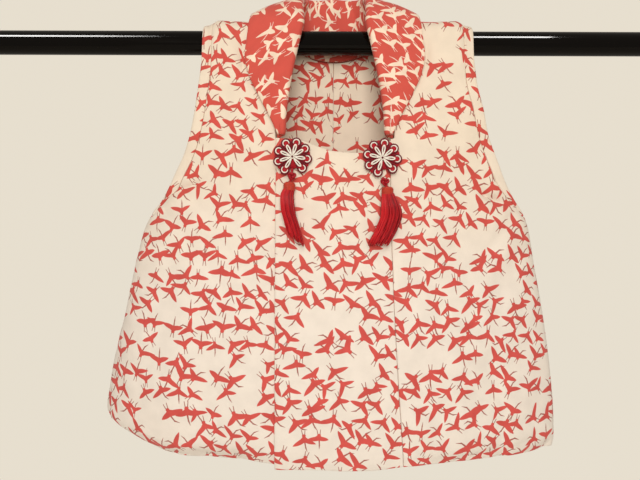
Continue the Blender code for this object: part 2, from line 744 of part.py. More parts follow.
def head_y(head):
    """The depth of a tassel head's middle."""
    return seat(head.x, head.z, HEAD_HALF_WIDTH, head.half_height) - HEAD_HALF_DEPTH


def tassel_head(head):
    """The wrapped head, a barrel with flat ends."""
    turn = np.arange(HEAD_SIDES) * 2 * math.pi / HEAD_SIDES
    rings = []
    for row in HEAD_PROFILE:
        x = head.x + HEAD_HALF_WIDTH * row.width * np.cos(turn)
        y = head_y(head) + HEAD_HALF_DEPTH * row.width * np.sin(turn)
        z = np.full_like(x, head.z + head.half_height * (1 - 2 * row.down))
        rings.append(np.stack([x, y, z], axis=-1))
    return rings_mesh("head", np.array(rings))


def strand(ornament, angle, share, end_z):
    """One strand, from its root in the head to its end. share is how far out in the skirt it is."""
    head = ornament.head
    root_z = head.z - head.half_height * ROOT_DOWN
    down = np.linspace(0, 1, STRAND_STEPS + 1)
    z = root_z + (end_z - root_z) * down
    opened = smooth_step(down, 0, 0.4)
    middle = column(ornament.skirt, "down", "x", down)
    x = middle + math.cos(angle) * share * column(ornament.skirt, "down", "half_width", down)
    hung = [seat(at_x, at_z, SKIRT_REACH, SKIRT_REACH) - SKIRT_BACK for at_x, at_z in zip(middle, z)]
    half_depth = ROOT_HALF_DEPTH + (SKIRT_HALF_DEPTH - ROOT_HALF_DEPTH) * opened
    y = head_y(head) * (1 - opened) + np.array(hung) * opened + math.sin(angle) * share * half_depth
    radius = STRAND_RADIUS + STRAND_SWELL * opened
    corners = []
    for k in range(STRAND_SIDES):
        turn = angle + k * 2 * math.pi / STRAND_SIDES
        corners.append(np.stack([x + radius * math.cos(turn), y + radius * math.sin(turn), z], axis=-1))
    return rings_mesh("strand", np.stack(corners, axis=1))


def tassel(ornament, look):
    """A head, and strands that are rooted in it and stand apart below."""
    draw = np.random.default_rng(STRAND_SEED)
    shape = bmesh.new()
    for ring in STRAND_RINGS:
        for i in range(ring.strands):
            angle = 2 * math.pi * (i + ring.share) / ring.strands
            slant = ornament.head.slant * math.cos(angle) * ring.share
            end_z = ornament.head.end_z - slant + draw.uniform(0, STRAND_UNEVEN)
            shape.from_mesh(strand(ornament, angle, ring.share, end_z))
    mesh = bpy.data.meshes.new("strands")
    shape.to_mesh(mesh)
    shape.free()
    head = bpy.data.objects.new("head", tassel_head(ornament.head))
    strands = bpy.data.objects.new("strands", mesh)
    for piece in (head, strands):
        bpy.context.scene.collection.objects.link(piece)
    union = head.modifiers.new("strands", "BOOLEAN")
    union.operation = "UNION"
    union.object = strands
    joined = head.evaluated_get(bpy.context.evaluated_depsgraph_get())
    mesh = bpy.data.meshes.new_from_object(joined)
    bpy.data.objects.remove(strands)
    bpy.data.objects.remove(head)
    return add_object("tassel_" + ornament.name, mesh, look)


def main():
    for old in list(bpy.data.objects):
        bpy.data.objects.remove(old)
    print_cream = material("print_cream", (0.90, 0.80, 0.66), 0.8)
    print_red = material("print_red", (0.78, 0.10, 0.07), 0.8)
    cord_white = material("cord_white", (0.88, 0.80, 0.68), 0.6)
    silk_crimson = material("silk_crimson", (0.55, 0.02, 0.03), 0.5)
    gloss_black = material("gloss_black", (0.008, 0.008, 0.008), 0.2)
    rod(gloss_black)
    body(-1, "body_right", print_cream)
    body(1, "body_left", print_cream)
    armhole_band(-1, "armhole_band_right", print_cream)
    armhole_band(1, "armhole_band_left", print_cream)
    front_band("front_band_left", 1, BAND_FREE_X, overlap_top, LAYER_STEP, BAND_HANG, print_cream)
    front_band("front_band_right", -1, UNDER_FREE_X, under_top, 0, 0, print_cream)
    collar(print_red)
    for ornament in ORNAMENTS:
        flower(ornament, cord_white)
        knot(ornament, silk_crimson)
        tassel(ornament, silk_crimson)


main()
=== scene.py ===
"""The looks of a child's wadded hifu vest, hung by its shoulders on a round rod.

The origin is on the rod's axis at the vest's centre line. +X is the wearer's left, the front
faces -Y and +Z is up. All sizes are in metres. The cloth has its own coordinates, as in the
part's source: x across, and drop along the cloth, 0 on the shoulder ridge, negative down the
front and positive down the back.
"""

import json
import math
from collections import namedtuple
from functools import reduce

import bmesh
import bpy
import numpy as np
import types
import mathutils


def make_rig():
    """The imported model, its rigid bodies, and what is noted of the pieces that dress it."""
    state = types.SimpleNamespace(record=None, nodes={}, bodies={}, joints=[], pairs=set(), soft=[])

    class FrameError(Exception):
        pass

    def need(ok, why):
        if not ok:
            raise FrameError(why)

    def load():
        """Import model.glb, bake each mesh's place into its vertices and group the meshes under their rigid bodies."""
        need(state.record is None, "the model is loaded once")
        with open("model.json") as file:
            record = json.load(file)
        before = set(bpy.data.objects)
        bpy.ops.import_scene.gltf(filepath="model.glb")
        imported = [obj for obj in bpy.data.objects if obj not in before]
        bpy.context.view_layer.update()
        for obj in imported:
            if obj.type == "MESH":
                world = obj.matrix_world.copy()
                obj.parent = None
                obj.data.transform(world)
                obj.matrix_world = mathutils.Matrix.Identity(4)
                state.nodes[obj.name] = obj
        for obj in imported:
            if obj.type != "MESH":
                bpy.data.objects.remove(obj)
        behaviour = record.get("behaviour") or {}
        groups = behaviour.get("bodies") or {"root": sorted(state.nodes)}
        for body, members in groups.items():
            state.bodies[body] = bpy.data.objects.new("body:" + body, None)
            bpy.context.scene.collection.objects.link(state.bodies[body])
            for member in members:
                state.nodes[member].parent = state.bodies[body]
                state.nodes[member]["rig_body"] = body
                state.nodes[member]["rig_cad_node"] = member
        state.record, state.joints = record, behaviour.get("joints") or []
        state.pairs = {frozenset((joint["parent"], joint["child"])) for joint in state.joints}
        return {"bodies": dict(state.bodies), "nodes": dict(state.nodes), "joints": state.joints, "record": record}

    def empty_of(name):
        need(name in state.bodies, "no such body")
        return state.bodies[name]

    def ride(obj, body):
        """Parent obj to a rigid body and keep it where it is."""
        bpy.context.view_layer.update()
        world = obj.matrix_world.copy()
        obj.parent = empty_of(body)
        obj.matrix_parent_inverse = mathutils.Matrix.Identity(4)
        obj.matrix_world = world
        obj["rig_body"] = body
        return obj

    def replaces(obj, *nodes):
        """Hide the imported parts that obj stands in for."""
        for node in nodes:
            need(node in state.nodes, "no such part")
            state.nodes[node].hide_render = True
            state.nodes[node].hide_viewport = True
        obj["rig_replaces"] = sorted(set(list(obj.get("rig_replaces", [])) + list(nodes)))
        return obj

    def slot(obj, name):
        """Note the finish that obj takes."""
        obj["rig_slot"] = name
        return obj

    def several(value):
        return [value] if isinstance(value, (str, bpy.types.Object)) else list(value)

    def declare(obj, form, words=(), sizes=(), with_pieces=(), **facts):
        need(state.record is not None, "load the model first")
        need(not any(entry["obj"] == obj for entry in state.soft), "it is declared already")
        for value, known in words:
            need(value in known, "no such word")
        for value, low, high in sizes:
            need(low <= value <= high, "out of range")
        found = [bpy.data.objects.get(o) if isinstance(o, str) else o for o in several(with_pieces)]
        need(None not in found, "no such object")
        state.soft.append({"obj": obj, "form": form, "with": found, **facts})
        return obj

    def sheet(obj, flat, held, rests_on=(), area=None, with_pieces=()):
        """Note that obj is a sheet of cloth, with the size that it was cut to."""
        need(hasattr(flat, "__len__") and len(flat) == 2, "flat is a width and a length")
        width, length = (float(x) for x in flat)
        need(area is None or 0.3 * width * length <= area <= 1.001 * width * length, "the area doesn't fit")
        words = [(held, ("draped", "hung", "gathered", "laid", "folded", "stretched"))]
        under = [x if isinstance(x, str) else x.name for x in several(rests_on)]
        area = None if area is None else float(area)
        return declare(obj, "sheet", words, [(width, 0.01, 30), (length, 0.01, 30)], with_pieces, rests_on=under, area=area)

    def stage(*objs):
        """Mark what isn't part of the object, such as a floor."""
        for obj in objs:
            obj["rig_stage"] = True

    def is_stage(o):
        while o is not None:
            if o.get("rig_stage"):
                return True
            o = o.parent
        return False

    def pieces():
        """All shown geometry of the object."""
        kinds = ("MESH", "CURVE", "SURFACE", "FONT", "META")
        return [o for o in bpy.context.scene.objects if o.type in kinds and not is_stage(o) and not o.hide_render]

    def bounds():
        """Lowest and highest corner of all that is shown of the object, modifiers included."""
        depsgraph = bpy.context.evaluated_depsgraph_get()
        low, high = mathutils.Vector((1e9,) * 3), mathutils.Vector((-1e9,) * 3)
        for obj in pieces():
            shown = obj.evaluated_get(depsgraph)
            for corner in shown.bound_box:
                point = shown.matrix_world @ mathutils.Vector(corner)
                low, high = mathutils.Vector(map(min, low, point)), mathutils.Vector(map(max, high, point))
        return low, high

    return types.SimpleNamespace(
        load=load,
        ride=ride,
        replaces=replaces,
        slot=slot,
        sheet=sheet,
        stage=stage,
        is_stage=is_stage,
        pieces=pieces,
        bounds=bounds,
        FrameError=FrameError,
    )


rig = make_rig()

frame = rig.load()
CAD_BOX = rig.bounds()


def table(columns, *rows):
    """A short table: rows with named columns."""
    kind = namedtuple("Row", columns)
    return tuple(kind(*row) for row in rows)


# The rod and the cloth.
ROD_RADIUS = 0.0125
WALL = 0.005
COLLAR_WALL = 0.004
SEAM_GAP = 0.0003
EDGE_MARGIN = 0.004
SHOULDER_RADIUS = ROD_RADIUS + SEAM_GAP + WALL / 2
QUARTER = SHOULDER_RADIUS * math.pi / 2
HEM_Z = -0.444
UNDERARM_Z = -0.190
CLOSED_Z = -0.1915
FRONT_EDGE_TOP_Z = -0.112
BACK_NECK_Z = -0.014
NECK_HALF_WIDTH = 0.054
SIDE_FLATNESS = 2.4
# The rough sizes that say how finely the bodies and the front bands are divided.
HALF_WIDTH = 0.19
BAND_WIDTH = 0.115
BAND_LENGTH = 0.32

# How far the hem rises to the side seam of each side, and over which stretch of its width.
HEM_RISE = {-1: 0.025, 1: 0.003}
RISE_START = 0.35
RISE_END = 0.95

# The overlap of the wearer's left front over the right one.
LAYER_STEP = 0.0058
RAISED_X = 0.060
RAISED_END_X = 0.150
RAISED_Z = -0.140
RAISED_TOP_Z = -0.106
BAND_SEAM_X = 0.0556
BAND_SEAM_FLARE = 0.014
BAND_FREE_X = -0.0600
# How much lower the overlapping band hangs, and the share of its width where that comes in.
BAND_HANG = 0.0022
HANG_SPREAD = 0.3
UNDER_FREE_X = 0.0480
UNDER_TOP_Z = -0.136
UNDER_SEAM_X = BAND_SEAM_X - 0.001

# The armhole bands.
ARMHOLE_BAND = 0.0115
ARMHOLE_BAND_TIP = 0.003
ARMHOLE_TAPER = 0.035

# Rows of the body, from the front hem over the shoulder to the back hem, before they are made finer.
LOW_ROWS = 11
CHEST_ROWS = 7
NECK_ROWS = 17
ARMHOLE_ROWS = 11
ARMHOLE_CROWDING = 1.6
SHOULDER_ROWS = 9
HEM_STEPS = 10
CELL = 0.0032

# The cord flowers.
CREAM, CRIMSON, MAROON = range(3)
PETALS = 8
BACKING_RADIUS = 0.0118
BACKING_THICKNESS = 0.0024
BACKING_CROWN = 0.0004
HUB_RADIUS = 0.0012
HUB_RING = 0.0017
HUB_LOW = 0.0016
HUB_HIGH = 0.0030
LOOP_CENTRE = 0.0148
LOOP_ROOT = 0.0050
LOOP_ROOT_HALF = 0.0007
CORD_SIDES = 8
# The flat drops of silk: under a petal, between two petals and inside a petal's inner loop.
# tip and root are distances from the flower's centre, rise is measured from the backing.
PETAL_PAD, GAP_PAD, CORE_PAD = table(
    "half_width tip root points centre rise look",
    (0.0045, 0.019, 0.0034, 28, LOOP_CENTRE, 0.0009, CRIMSON),
    (0.0085, 0.018, 0.0024, 20, 0.0145, 0.0006, CRIMSON),
    (0.0014, 0.0122, 0.0036, 20, 0.0085, 0.0017, MAROON),
)
# A petal's round cords: how far they turn to each side, how thick they are at their ends, and how
# much thicker in the middle.
LOOP, CRESCENT = table(
    "radius turn points thin swell rise look shade",
    (0.0043, 118, 33, 0.0008, 0.0, 0.0012, MAROON, 0.45),
    (0.003, 122, 27, 0.00026, 0.00042, 0.0017, CREAM, 0.85),
)
INNER_HALF_WIDTH = 0.0015
INNER_TIP = 0.0124
INNER_ROOT = 0.0026
INNER_THICK = 0.00074
INNER_RISE = 0.0024
HUB_THICK = 0.00062

# The knots.
KNOT_REACH = 0.00464
KNOT_RADIUS = 0.0023
KNOT_WAVE = 0.0011
KNOT_DEPTH = 0.0020
KNOT_HALF_HEIGHT = 0.0022
KNOT_THICK = 0.0012
CORD_THICK = 0.00085
CORD_APART = 0.0007

# Small step for slopes.
STEP = 0.0001

# Sections of the cloth's middle from the hem up to the shoulder ridge: how far out its sides, front
# and back lie, how far the sides are parted as armholes, and how far they are closed.
SECTIONS = table(
    "z right_x left_x front_y right_side_y left_side_y right_opening left_opening back_y closed",
    (-0.444, 0.24, 0.238, -0.0425, 0.02, 0.002, 0.0, 0.0, 0.051, 1.0),
    (-0.43, 0.247, 0.2408, -0.044, 0.02, 0.002, 0.0, 0.0, 0.053, 1.0),
    (-0.403, 0.2512, 0.2402, -0.0445, 0.018, 0.002, 0.0, 0.0, 0.053, 1.0),
    (-0.359, 0.2443, 0.2364, -0.044, 0.014, 0.0015, 0.0, 0.0, 0.051, 1.0),
    (-0.3, 0.2292, 0.2284, -0.043, 0.009, 0.001, 0.0, 0.0, 0.048, 1.0),
    (-0.238, 0.214, 0.217, -0.0415, 0.003, 0.0, 0.0, 0.0, 0.044, 1.0),
    (-0.203, 0.204, 0.2112, -0.0405, 0.0, 0.0, 0.0, 0.0, 0.041, 1.0),
    (-0.186, 0.195, 0.2042, -0.04, 0.0, 0.0, 0.003, 0.003, 0.04, 0.5),
    (-0.168, 0.181, 0.1908, -0.0395, 0.0, 0.0, 0.012, 0.011, 0.038, 0.0),
    (-0.148, 0.169, 0.1785, -0.0385, 0.0, 0.0, 0.0185, 0.018, 0.037, 0.0),
    (-0.111, 0.153, 0.1634, -0.036, 0.0, 0.0, 0.0225, 0.022, 0.034, 0.0),
    (-0.08, 0.147, 0.1562, -0.032, 0.0, 0.0, 0.0225, 0.0225, 0.031, 0.0),
    (-0.048, 0.143, 0.15, -0.026, 0.0, 0.0, 0.0205, 0.0205, 0.026, 0.0),
    (-0.02, 0.141, 0.148, -0.0185, 0.0, 0.0, 0.0172, 0.0172, 0.0185, 0.0),
    (0.0, 0.141, 0.148, -SHOULDER_RADIUS, 0.0, 0.0, SHOULDER_RADIUS, SHOULDER_RADIUS, SHOULDER_RADIUS, 0.0),
)
SIDE_ROUNDNESS = {-1: 2.0, 1: 1.55}
SIDE_NAMES = {-1: "right", 1: "left"}

# How far the shoulder stands off the rod, by the part of half the vest's width.
SHOULDER_LIFT = table(
    "share height",
    (0.0, 0.006),
    (0.45, 0.006),
    (0.7, 0.004),
    (0.88, 0.005),
    (0.975, 0.0),
    (1.0, 0.0),
)
LIFT_FADE_Z = -0.060

# The neck seam down the front.
FRONT_NECK = table(
    "z x",
    (-0.112, 0.0605),
    (-0.085, 0.0625),
    (-0.055, 0.064),
    (-0.025, 0.0645),
    (0.0, 0.0615),
    (0.024, NECK_HALF_WIDTH),
)

# The upper edges of the two front bands.
UNDER_TOP = table("x z", (BAND_FREE_X, UNDER_TOP_Z), (BAND_SEAM_X, UNDER_TOP_Z))
OVERLAP_TOP = table(
    "x z",
    (-0.06, -0.1125),
    (-0.04, -0.114),
    (0.0, -0.1265),
    (0.03, -0.128),
    (0.056, -0.1275),
)

# The collar from the centre of the back to its front tip: its fold, and its edge on the cloth.
COLLAR_ROWS = table(
    "at fold_x fold_y fold_z edge_x edge_drop out",
    (0.0, 0.0, 0.031, 0.06, 0.0, 0.047, 0.0085),
    (0.15, 0.016, 0.0305, 0.0595, 0.031, 0.0455, 0.0085),
    (0.3, 0.029, 0.023, 0.057, 0.062, 0.037, 0.0085),
    (0.42, 0.0345, 0.011, 0.054, 0.081, 0.017, 0.0082),
    (0.5, 0.036, 0.0, 0.049, 0.087, 0.0, 0.0076),
    (0.59, 0.0345, -0.0215, 0.018, 0.091, -0.026, 0.0066),
    (0.66, 0.04, -0.026, -0.013, 0.0935, -0.048, 0.0062),
    (0.75, 0.0455, -0.03, -0.04, 0.0895, -0.068, 0.006),
    (0.85, 0.0498, -0.0342, -0.069, 0.0765, -0.096, 0.006),
    (0.93, 0.052, -0.0375, -0.091, 0.066, -0.116, 0.006),
    (1.0, 0.0523, -0.039, -0.109, 0.058, -0.1335, 0.0062),
)
FOLD_RADIUS = COLLAR_WALL / 2 + 0.0007
FALL_FULLNESS = 0.0025
STAND_START = 0.0016

# Soft troughs (depth below 0) and ridges along lines on the cloth, on the front and on the back.
FRONT_CREASES = table(
    "x z end_x end_z width depth",
    # Beside the collar, below each shoulder.
    (-0.0985, -0.002, -0.0965, -0.04, 0.0045, -0.0034),
    (0.0985, -0.002, 0.0955, -0.036, 0.0045, -0.0032),
    (-0.114, -0.006, -0.11, -0.06, 0.009, 0.0014),
    (0.114, -0.006, 0.108, -0.056, 0.009, 0.0014),
    # The deep tucks at the foot of each armhole, and the folds that start there.
    (-0.17, -0.166, -0.14, -0.156, 0.0042, -0.0036),
    (-0.176, -0.176, -0.142, -0.165, 0.006, 0.0018),
    (0.152, -0.166, 0.18, -0.177, 0.0046, -0.0048),
    (0.15, -0.177, 0.188, -0.188, 0.0065, 0.002),
    (-0.186, -0.182, -0.15, -0.222, 0.008, -0.0026),
    (0.192, -0.186, 0.16, -0.232, 0.008, -0.003),
    (-0.172, -0.2, -0.14, -0.262, 0.01, 0.0014),
    (0.178, -0.21, 0.15, -0.276, 0.011, 0.0016),
    # Long hanging folds of the skirt.
    (-0.15, -0.29, -0.172, -0.44, 0.017, 0.0026),
    (-0.118, -0.32, -0.128, -0.44, 0.013, -0.0022),
    (0.12, -0.31, 0.134, -0.44, 0.015, 0.0024),
    (0.16, -0.33, 0.176, -0.44, 0.012, -0.0022),
    (0.03, -0.3, 0.022, -0.44, 0.02, 0.0014),
    # Puckers of the rolled hem.
    (-0.205, -0.426, -0.168, -0.436, 0.0034, -0.0016),
    (-0.16, -0.43, -0.128, -0.437, 0.0034, -0.0015),
    (-0.12, -0.428, -0.084, -0.436, 0.0036, -0.0012),
    (-0.176, -0.447, -0.16, -0.434, 0.004, -0.0018),
    (-0.142, -0.448, -0.124, -0.436, 0.004, -0.0018),
    (-0.104, -0.449, -0.082, -0.437, 0.0045, -0.0014),
    (0.118, -0.448, 0.134, -0.434, 0.0045, -0.0014),
    (0.14, -0.437, 0.178, -0.432, 0.0034, -0.0015),
    (0.17, -0.448, 0.184, -0.434, 0.004, -0.0018),
    (0.186, -0.432, 0.214, -0.425, 0.0034, -0.0014),
)
BACK_CREASES = table(
    "x z end_x end_z width depth",
    (-0.172, -0.165, -0.142, -0.158, 0.0046, -0.0034),
    (0.15, -0.164, 0.178, -0.174, 0.0046, -0.0036),
    (-0.18, -0.178, -0.146, -0.226, 0.009, -0.0028),
    (0.186, -0.178, 0.15, -0.22, 0.009, -0.0028),
    (-0.095, -0.04, -0.118, -0.12, 0.012, -0.0018),
    (0.098, -0.044, 0.116, -0.128, 0.012, -0.0018),
    (-0.06, -0.2, -0.082, -0.44, 0.019, 0.003),
    (0.07, -0.22, 0.086, -0.44, 0.019, 0.003),
    (-0.024, -0.25, -0.034, -0.44, 0.015, -0.0018),
    (0.03, -0.27, 0.04, -0.44, 0.015, -0.0018),
    (-0.13, -0.28, -0.148, -0.44, 0.015, -0.0026),
    (0.128, -0.29, 0.15, -0.44, 0.015, -0.0026),
    (-0.176, -0.3, -0.196, -0.44, 0.014, 0.0022),
    (0.18, -0.31, 0.196, -0.44, 0.014, 0.0022),
    (-0.15, -0.447, -0.134, -0.434, 0.0042, -0.0016),
    (-0.06, -0.448, -0.074, -0.434, 0.0042, -0.0016),
    (0.052, -0.448, 0.066, -0.434, 0.0042, -0.0015),
    (0.142, -0.447, 0.128, -0.434, 0.0042, -0.0016),
)
# The share of its length over which a crease fades at its ends, and the stretches over which all
# creases fade beside the rod and under the collar.
CREASE_FADE = 0.25
ROD_FADE = 0.02
COLLAR_X = 0.0605
COLLAR_FADE = 0.03
COLLAR_LOW = 0.10
COLLAR_FOOT = 0.15

# The hem is turned under over its last stretch, by a depth that changes across the vest.
HEM_ROLL = 0.026
HEM_TURNS = table(
    "x depth",
    (-0.25, 0.0105),
    (-0.095, 0.01),
    (-0.064, 0.003),
    (-0.055, 0.0003),
    (0.06, 0.0003),
    (0.1, 0.0045),
    (0.25, 0.0055),
)
SIDE_FADE = 0.014
TUCK_TOP = 0.170
# How far down the columns of the closed sides reach their even spacing.
EVEN_Z = 0.225

# How the collar's fall is spaced from the fold to its edge, and how near its edge it loses fullness.
FALL_SHARES = (0, 0.08, 0.17, 0.27, 0.37, 0.47, 0.57, 0.67, 0.77, 0.86, 0.93, 0.965, 0.985, 1.0)
FULL_FALL = 0.040
# Creases of the collar, by their place along the strip and their reach across it from the seam.
COLLAR_CREASES = table(
    "strip slant start end width depth",
    (0.019, 0.1, 0.004, 0.05, 0.004, 0.0016),
    (0.027, 0.12, 0.004, 0.046, 0.0032, -0.0018),
    (-0.04, -0.15, 0.006, 0.05, 0.0036, -0.0016),
    (-0.05, -0.1, 0.01, 0.08, 0.0055, 0.0014),
    (0.0, 0.0, 0.06, 0.1, 0.009, 0.0012),
    (-0.085, 0.35, 0.04, 0.1, 0.006, -0.0014),
    (0.088, -0.3, 0.04, 0.1, 0.0065, -0.0014),
    (0.132, -0.2, 0.03, 0.06, 0.007, 0.0008),
    (-0.128, 0.2, 0.03, 0.06, 0.007, 0.0008),
)

# Slow unevenness of the wadding: how far apart its waves are, which way they run and how high.
WADDING = table(
    "length angle start height",
    (0.083, 20, 0.4, 0.00045),
    (0.061, -48, 1.9, 0.0004),
    (0.047, 77, 4.1, 0.0003),
    (0.034, -15, 2.7, 0.00022),
    (0.027, 52, 5.2, 0.00016),
)

# The wound head of a tassel, then its strands.
HEAD_PROFILE = table(
    "down width",
    (0.0, 0.55),
    (0.12, 0.86),
    (0.35, 1.0),
    (0.6, 0.97),
    (0.85, 0.99),
    (1.0, 0.94),
)
HEAD_HALF_WIDTH = 0.0062
HEAD_HALF_DEPTH = 0.0048
WINDINGS = 8
WINDING_HEIGHT = 0.00034

STRAND_RINGS = table("share strands", (0.45, 27), (0.74, 42), (1.0, 56))
STRAND_RADIUS = 0.00046
STRAND_SIDES = 5
STRAND_STEPS = 16
STRAND_SEED = 7
ROOT_HALF_WIDTH = 0.0052
ROOT_HALF_DEPTH = 0.0038
SKIRT_HALF_DEPTH = 0.0060
SKIRT_BACK = 0.0069
SKIRT_REACH = 0.0090
ROOT_DOWN = 0.4
STRAND_UNEVEN = 0.005
STRAND_STRAY = 0.0014
LOCKS = 9
LOCK_DEPTH = 0.045
SHADE_GROUP = 2
# The middle and the half width of each tassel's skirt, by the share of its length from the root.
RIGHT_SKIRT = table(
    "down x half_width",
    (0.0, -0.0456, ROOT_HALF_WIDTH),
    (0.15, -0.0478, 0.0062),
    (0.4, -0.0468, 0.0066),
    (0.7, -0.0425, 0.007),
    (1.0, -0.0382, 0.0072),
)
LEFT_SKIRT = table(
    "down x half_width",
    (0.0, 0.0518, ROOT_HALF_WIDTH),
    (0.15, 0.0536, 0.0078),
    (0.4, 0.0552, 0.0098),
    (0.7, 0.0505, 0.01),
    (1.0, 0.0422, 0.0095),
)

ORNAMENTS = table(
    "name x z turn knot_gap top_z knot_x knot_z head_x head_z head_half_height end_z slant skirt",
    (
        "right", -0.0427, -0.1333, 5, 72, -0.145, -0.0431, -0.1525,
        -0.0456, -0.1628, 0.0043, -0.218, 0.0055, RIGHT_SKIRT,
    ),
    (
        "left", 0.0468, -0.1341, 13, 61, -0.154, 0.0493, -0.158,
        0.0518, -0.1668, 0.0038, -0.2225, 0.0, LEFT_SKIRT,
    ),
)

# What each piece was cut to while it lay flat: the rectangle round it, its area, what bears it, and
# where on the printed cloth it begins.
CUTS = table(
    "node width length area rests_on print_place",
    ("body_right", 0.2728, 0.9361, 0.1583, "rod", (0.0, 0.0)),
    ("body_left", 0.2521, 0.9361, 0.1591, "rod", (0.43, 0.19)),
    ("armhole_band_right", 0.012, 0.4281, 0.0047, "vest_body_right", (0.71, 0.33)),
    ("armhole_band_left", 0.012, 0.4281, 0.0047, "vest_body_left", (0.87, 0.41)),
    ("front_band_left", 0.1295, 0.3337, 0.0389, "vest_body_left", (0.59, 0.27)),
    ("front_band_right", 0.1025, 0.308, 0.0315, "vest_body_right", (1.13, 0.63)),
    ("collar", 0.158, 0.4823, 0.0423, "vest_body_left", (0.31, 0.07)),
)
# How much further on along the printed cloth the lining begins.
LINING_SHIFT = (0.137, 0.211)

# How the wall thickens from an edge inwards: sewn flat at a seam, rounded at a fold.
SEAM, FOLD = table(
    "thin round_width full_width full_share",
    (0.42, 0.0014, 0.0085, 0.78),
    (0.3, 0.0026, 0.01, 0.9),
)


# Shapes.


def monotone(xs, ys, x):
    """A smooth curve through (xs, ys) that doesn't overshoot, read at x."""
    xs, ys = np.asarray(xs, float), np.asarray(ys, float)
    step = np.diff(xs)
    rise = np.diff(ys) / step
    slope = np.empty(len(xs))
    slope[0], slope[-1] = rise[0], rise[-1]
    before, after = rise[:-1], rise[1:]
    left, right = step[1:] * 2 + step[:-1], step[1:] + step[:-1] * 2
    with np.errstate(divide="ignore", invalid="ignore"):
        mean = (left + right) / (left / before + right / after)
    slope[1:-1] = np.where(before * after > 0, mean, 0.0)
    x = np.clip(x, xs[0], xs[-1])
    i = np.clip(np.searchsorted(xs, x) - 1, 0, len(step) - 1)
    t = (x - xs[i]) / step[i]
    return (
        ys[i] * (1 + 2 * t) * (1 - t) ** 2
        + slope[i] * step[i] * t * (1 - t) ** 2
        + ys[i + 1] * t**2 * (3 - 2 * t)
        + slope[i + 1] * step[i] * t**2 * (t - 1)
    )


def values(rows, name):
    return [getattr(row, name) for row in rows]


def column(rows, key, name, x):
    """A column of a table as a smooth curve over another one, read at x."""
    return monotone(values(rows, key), values(rows, name), x)


def section(side, name, z):
    """A value of the sections at height z, of one half of the vest where the halves differ."""
    of_side = SIDE_NAMES[side] + "_" + name
    return column(SECTIONS, "z", of_side if hasattr(SECTIONS[0], of_side) else name, z)


def smooth_step(x, start, end):
    t = np.clip((x - start) / (end - start), 0, 1)
    return t * t * (3 - 2 * t)


def front(z):
    return z - QUARTER


def back(z):
    return QUARTER - z


def height(drop):
    return np.minimum(0, QUARTER - np.abs(drop))


def side_x(side, drop):
    return section(side, "x", height(drop))


def cloth(side, share, drop):
    """Places of the middle of the cloth for share, the part of half the width, and drop."""
    z = height(drop)
    is_front = drop < 0
    facing = np.where(is_front, -1, 1)
    edge = section(side, "side_y", z) + facing * (section(side, "opening", z) + SEAM_GAP / 2)
    middle = np.where(is_front, section(side, "front_y", z), section(side, "back_y", z))
    share = np.clip(share, 0, 1)
    roundness = 1 + section(side, "closed", z) * (SIDE_ROUNDNESS[side] - 1)
    bulge = np.clip(1 - share**SIDE_FLATNESS, 0, 1) ** (1 / roundness)
    lift = column(SHOULDER_LIFT, "share", "height", share)
    y = edge + (middle - edge) * bulge + facing * lift * smooth_step(z, LIFT_FADE_Z, 0)
    angle = drop / SHOULDER_RADIUS
    over = np.abs(drop) < QUARTER
    radius = SHOULDER_RADIUS + lift
    y = np.where(over, radius * np.sin(angle), y)
    z = np.where(over, radius * np.cos(angle), z)
    return np.stack([side * share * side_x(side, drop), y, z], axis=-1)


def side_surface(side, x, drop):
    return cloth(side, x / side_x(side, drop), drop)


def surface(x, drop):
    x, drop = np.broadcast_arrays(np.asarray(x, float), np.asarray(drop, float))
    right, left = side_surface(-1, np.abs(x), drop), side_surface(1, np.abs(x), drop)
    return np.where((x < 0)[..., None], right, left)


def raised(x, drop):
    """How far forward the wearer's left front lies, to pass over the right front."""
    beside = 1 - smooth_step(x, RAISED_X, RAISED_END_X)
    below = 1 - smooth_step(height(drop), RAISED_Z, RAISED_TOP_Z)
    return LAYER_STEP * beside * below * (drop < 0)


def unit(v):
    return v / np.linalg.norm(v, axis=-1, keepdims=True)


def crease_height(crease, face, x, drop):
    """How far one crease lifts the cloth. face is -1 on the front and 1 on the back."""
    start = np.array([crease.x, face * (QUARTER - crease.z)])
    run = np.array([crease.end_x, face * (QUARTER - crease.end_z)]) - start
    length = math.hypot(*run)
    run = run / length
    along = (x - start[0]) * run[0] + (drop - start[1]) * run[1]
    across = (x - start[0]) * -run[1] + (drop - start[1]) * run[0]
    fade = CREASE_FADE * length
    inside = smooth_step(along, -fade, fade) * smooth_step(length - along, -fade, fade)
    return crease.depth * np.exp(-((across / crease.width) ** 2)) * inside


def relief(x, drop):
    """How far the cloth stands out from its even surface: the creases, the wadding and the hem."""
    out = 0 * x
    for wave in WADDING:
        turn = math.radians(wave.angle)
        phase = (x * math.cos(turn) + drop * math.sin(turn)) * 2 * math.pi / wave.length
        out = out + wave.height * np.sin(phase + wave.start)
    for face, creases in ((-1, FRONT_CREASES), (1, BACK_CREASES)):
        for crease in creases:
            out = out + crease_height(crease, face, x, drop)
    beyond_rod = smooth_step(np.abs(drop), QUARTER, QUARTER + ROD_FADE)
    beside_collar = smooth_step(np.abs(x) - COLLAR_X, 0.0, COLLAR_FADE)
    under_collar = np.maximum(smooth_step(-height(drop), COLLAR_LOW, COLLAR_FOOT), beside_collar)
    turned = smooth_step(-height(drop), -HEM_Z - HEM_ROLL, -HEM_Z) ** 2
    turn = np.interp(x, values(HEM_TURNS, "x"), values(HEM_TURNS, "depth"))
    return out * beyond_rod * under_collar - turned * turn


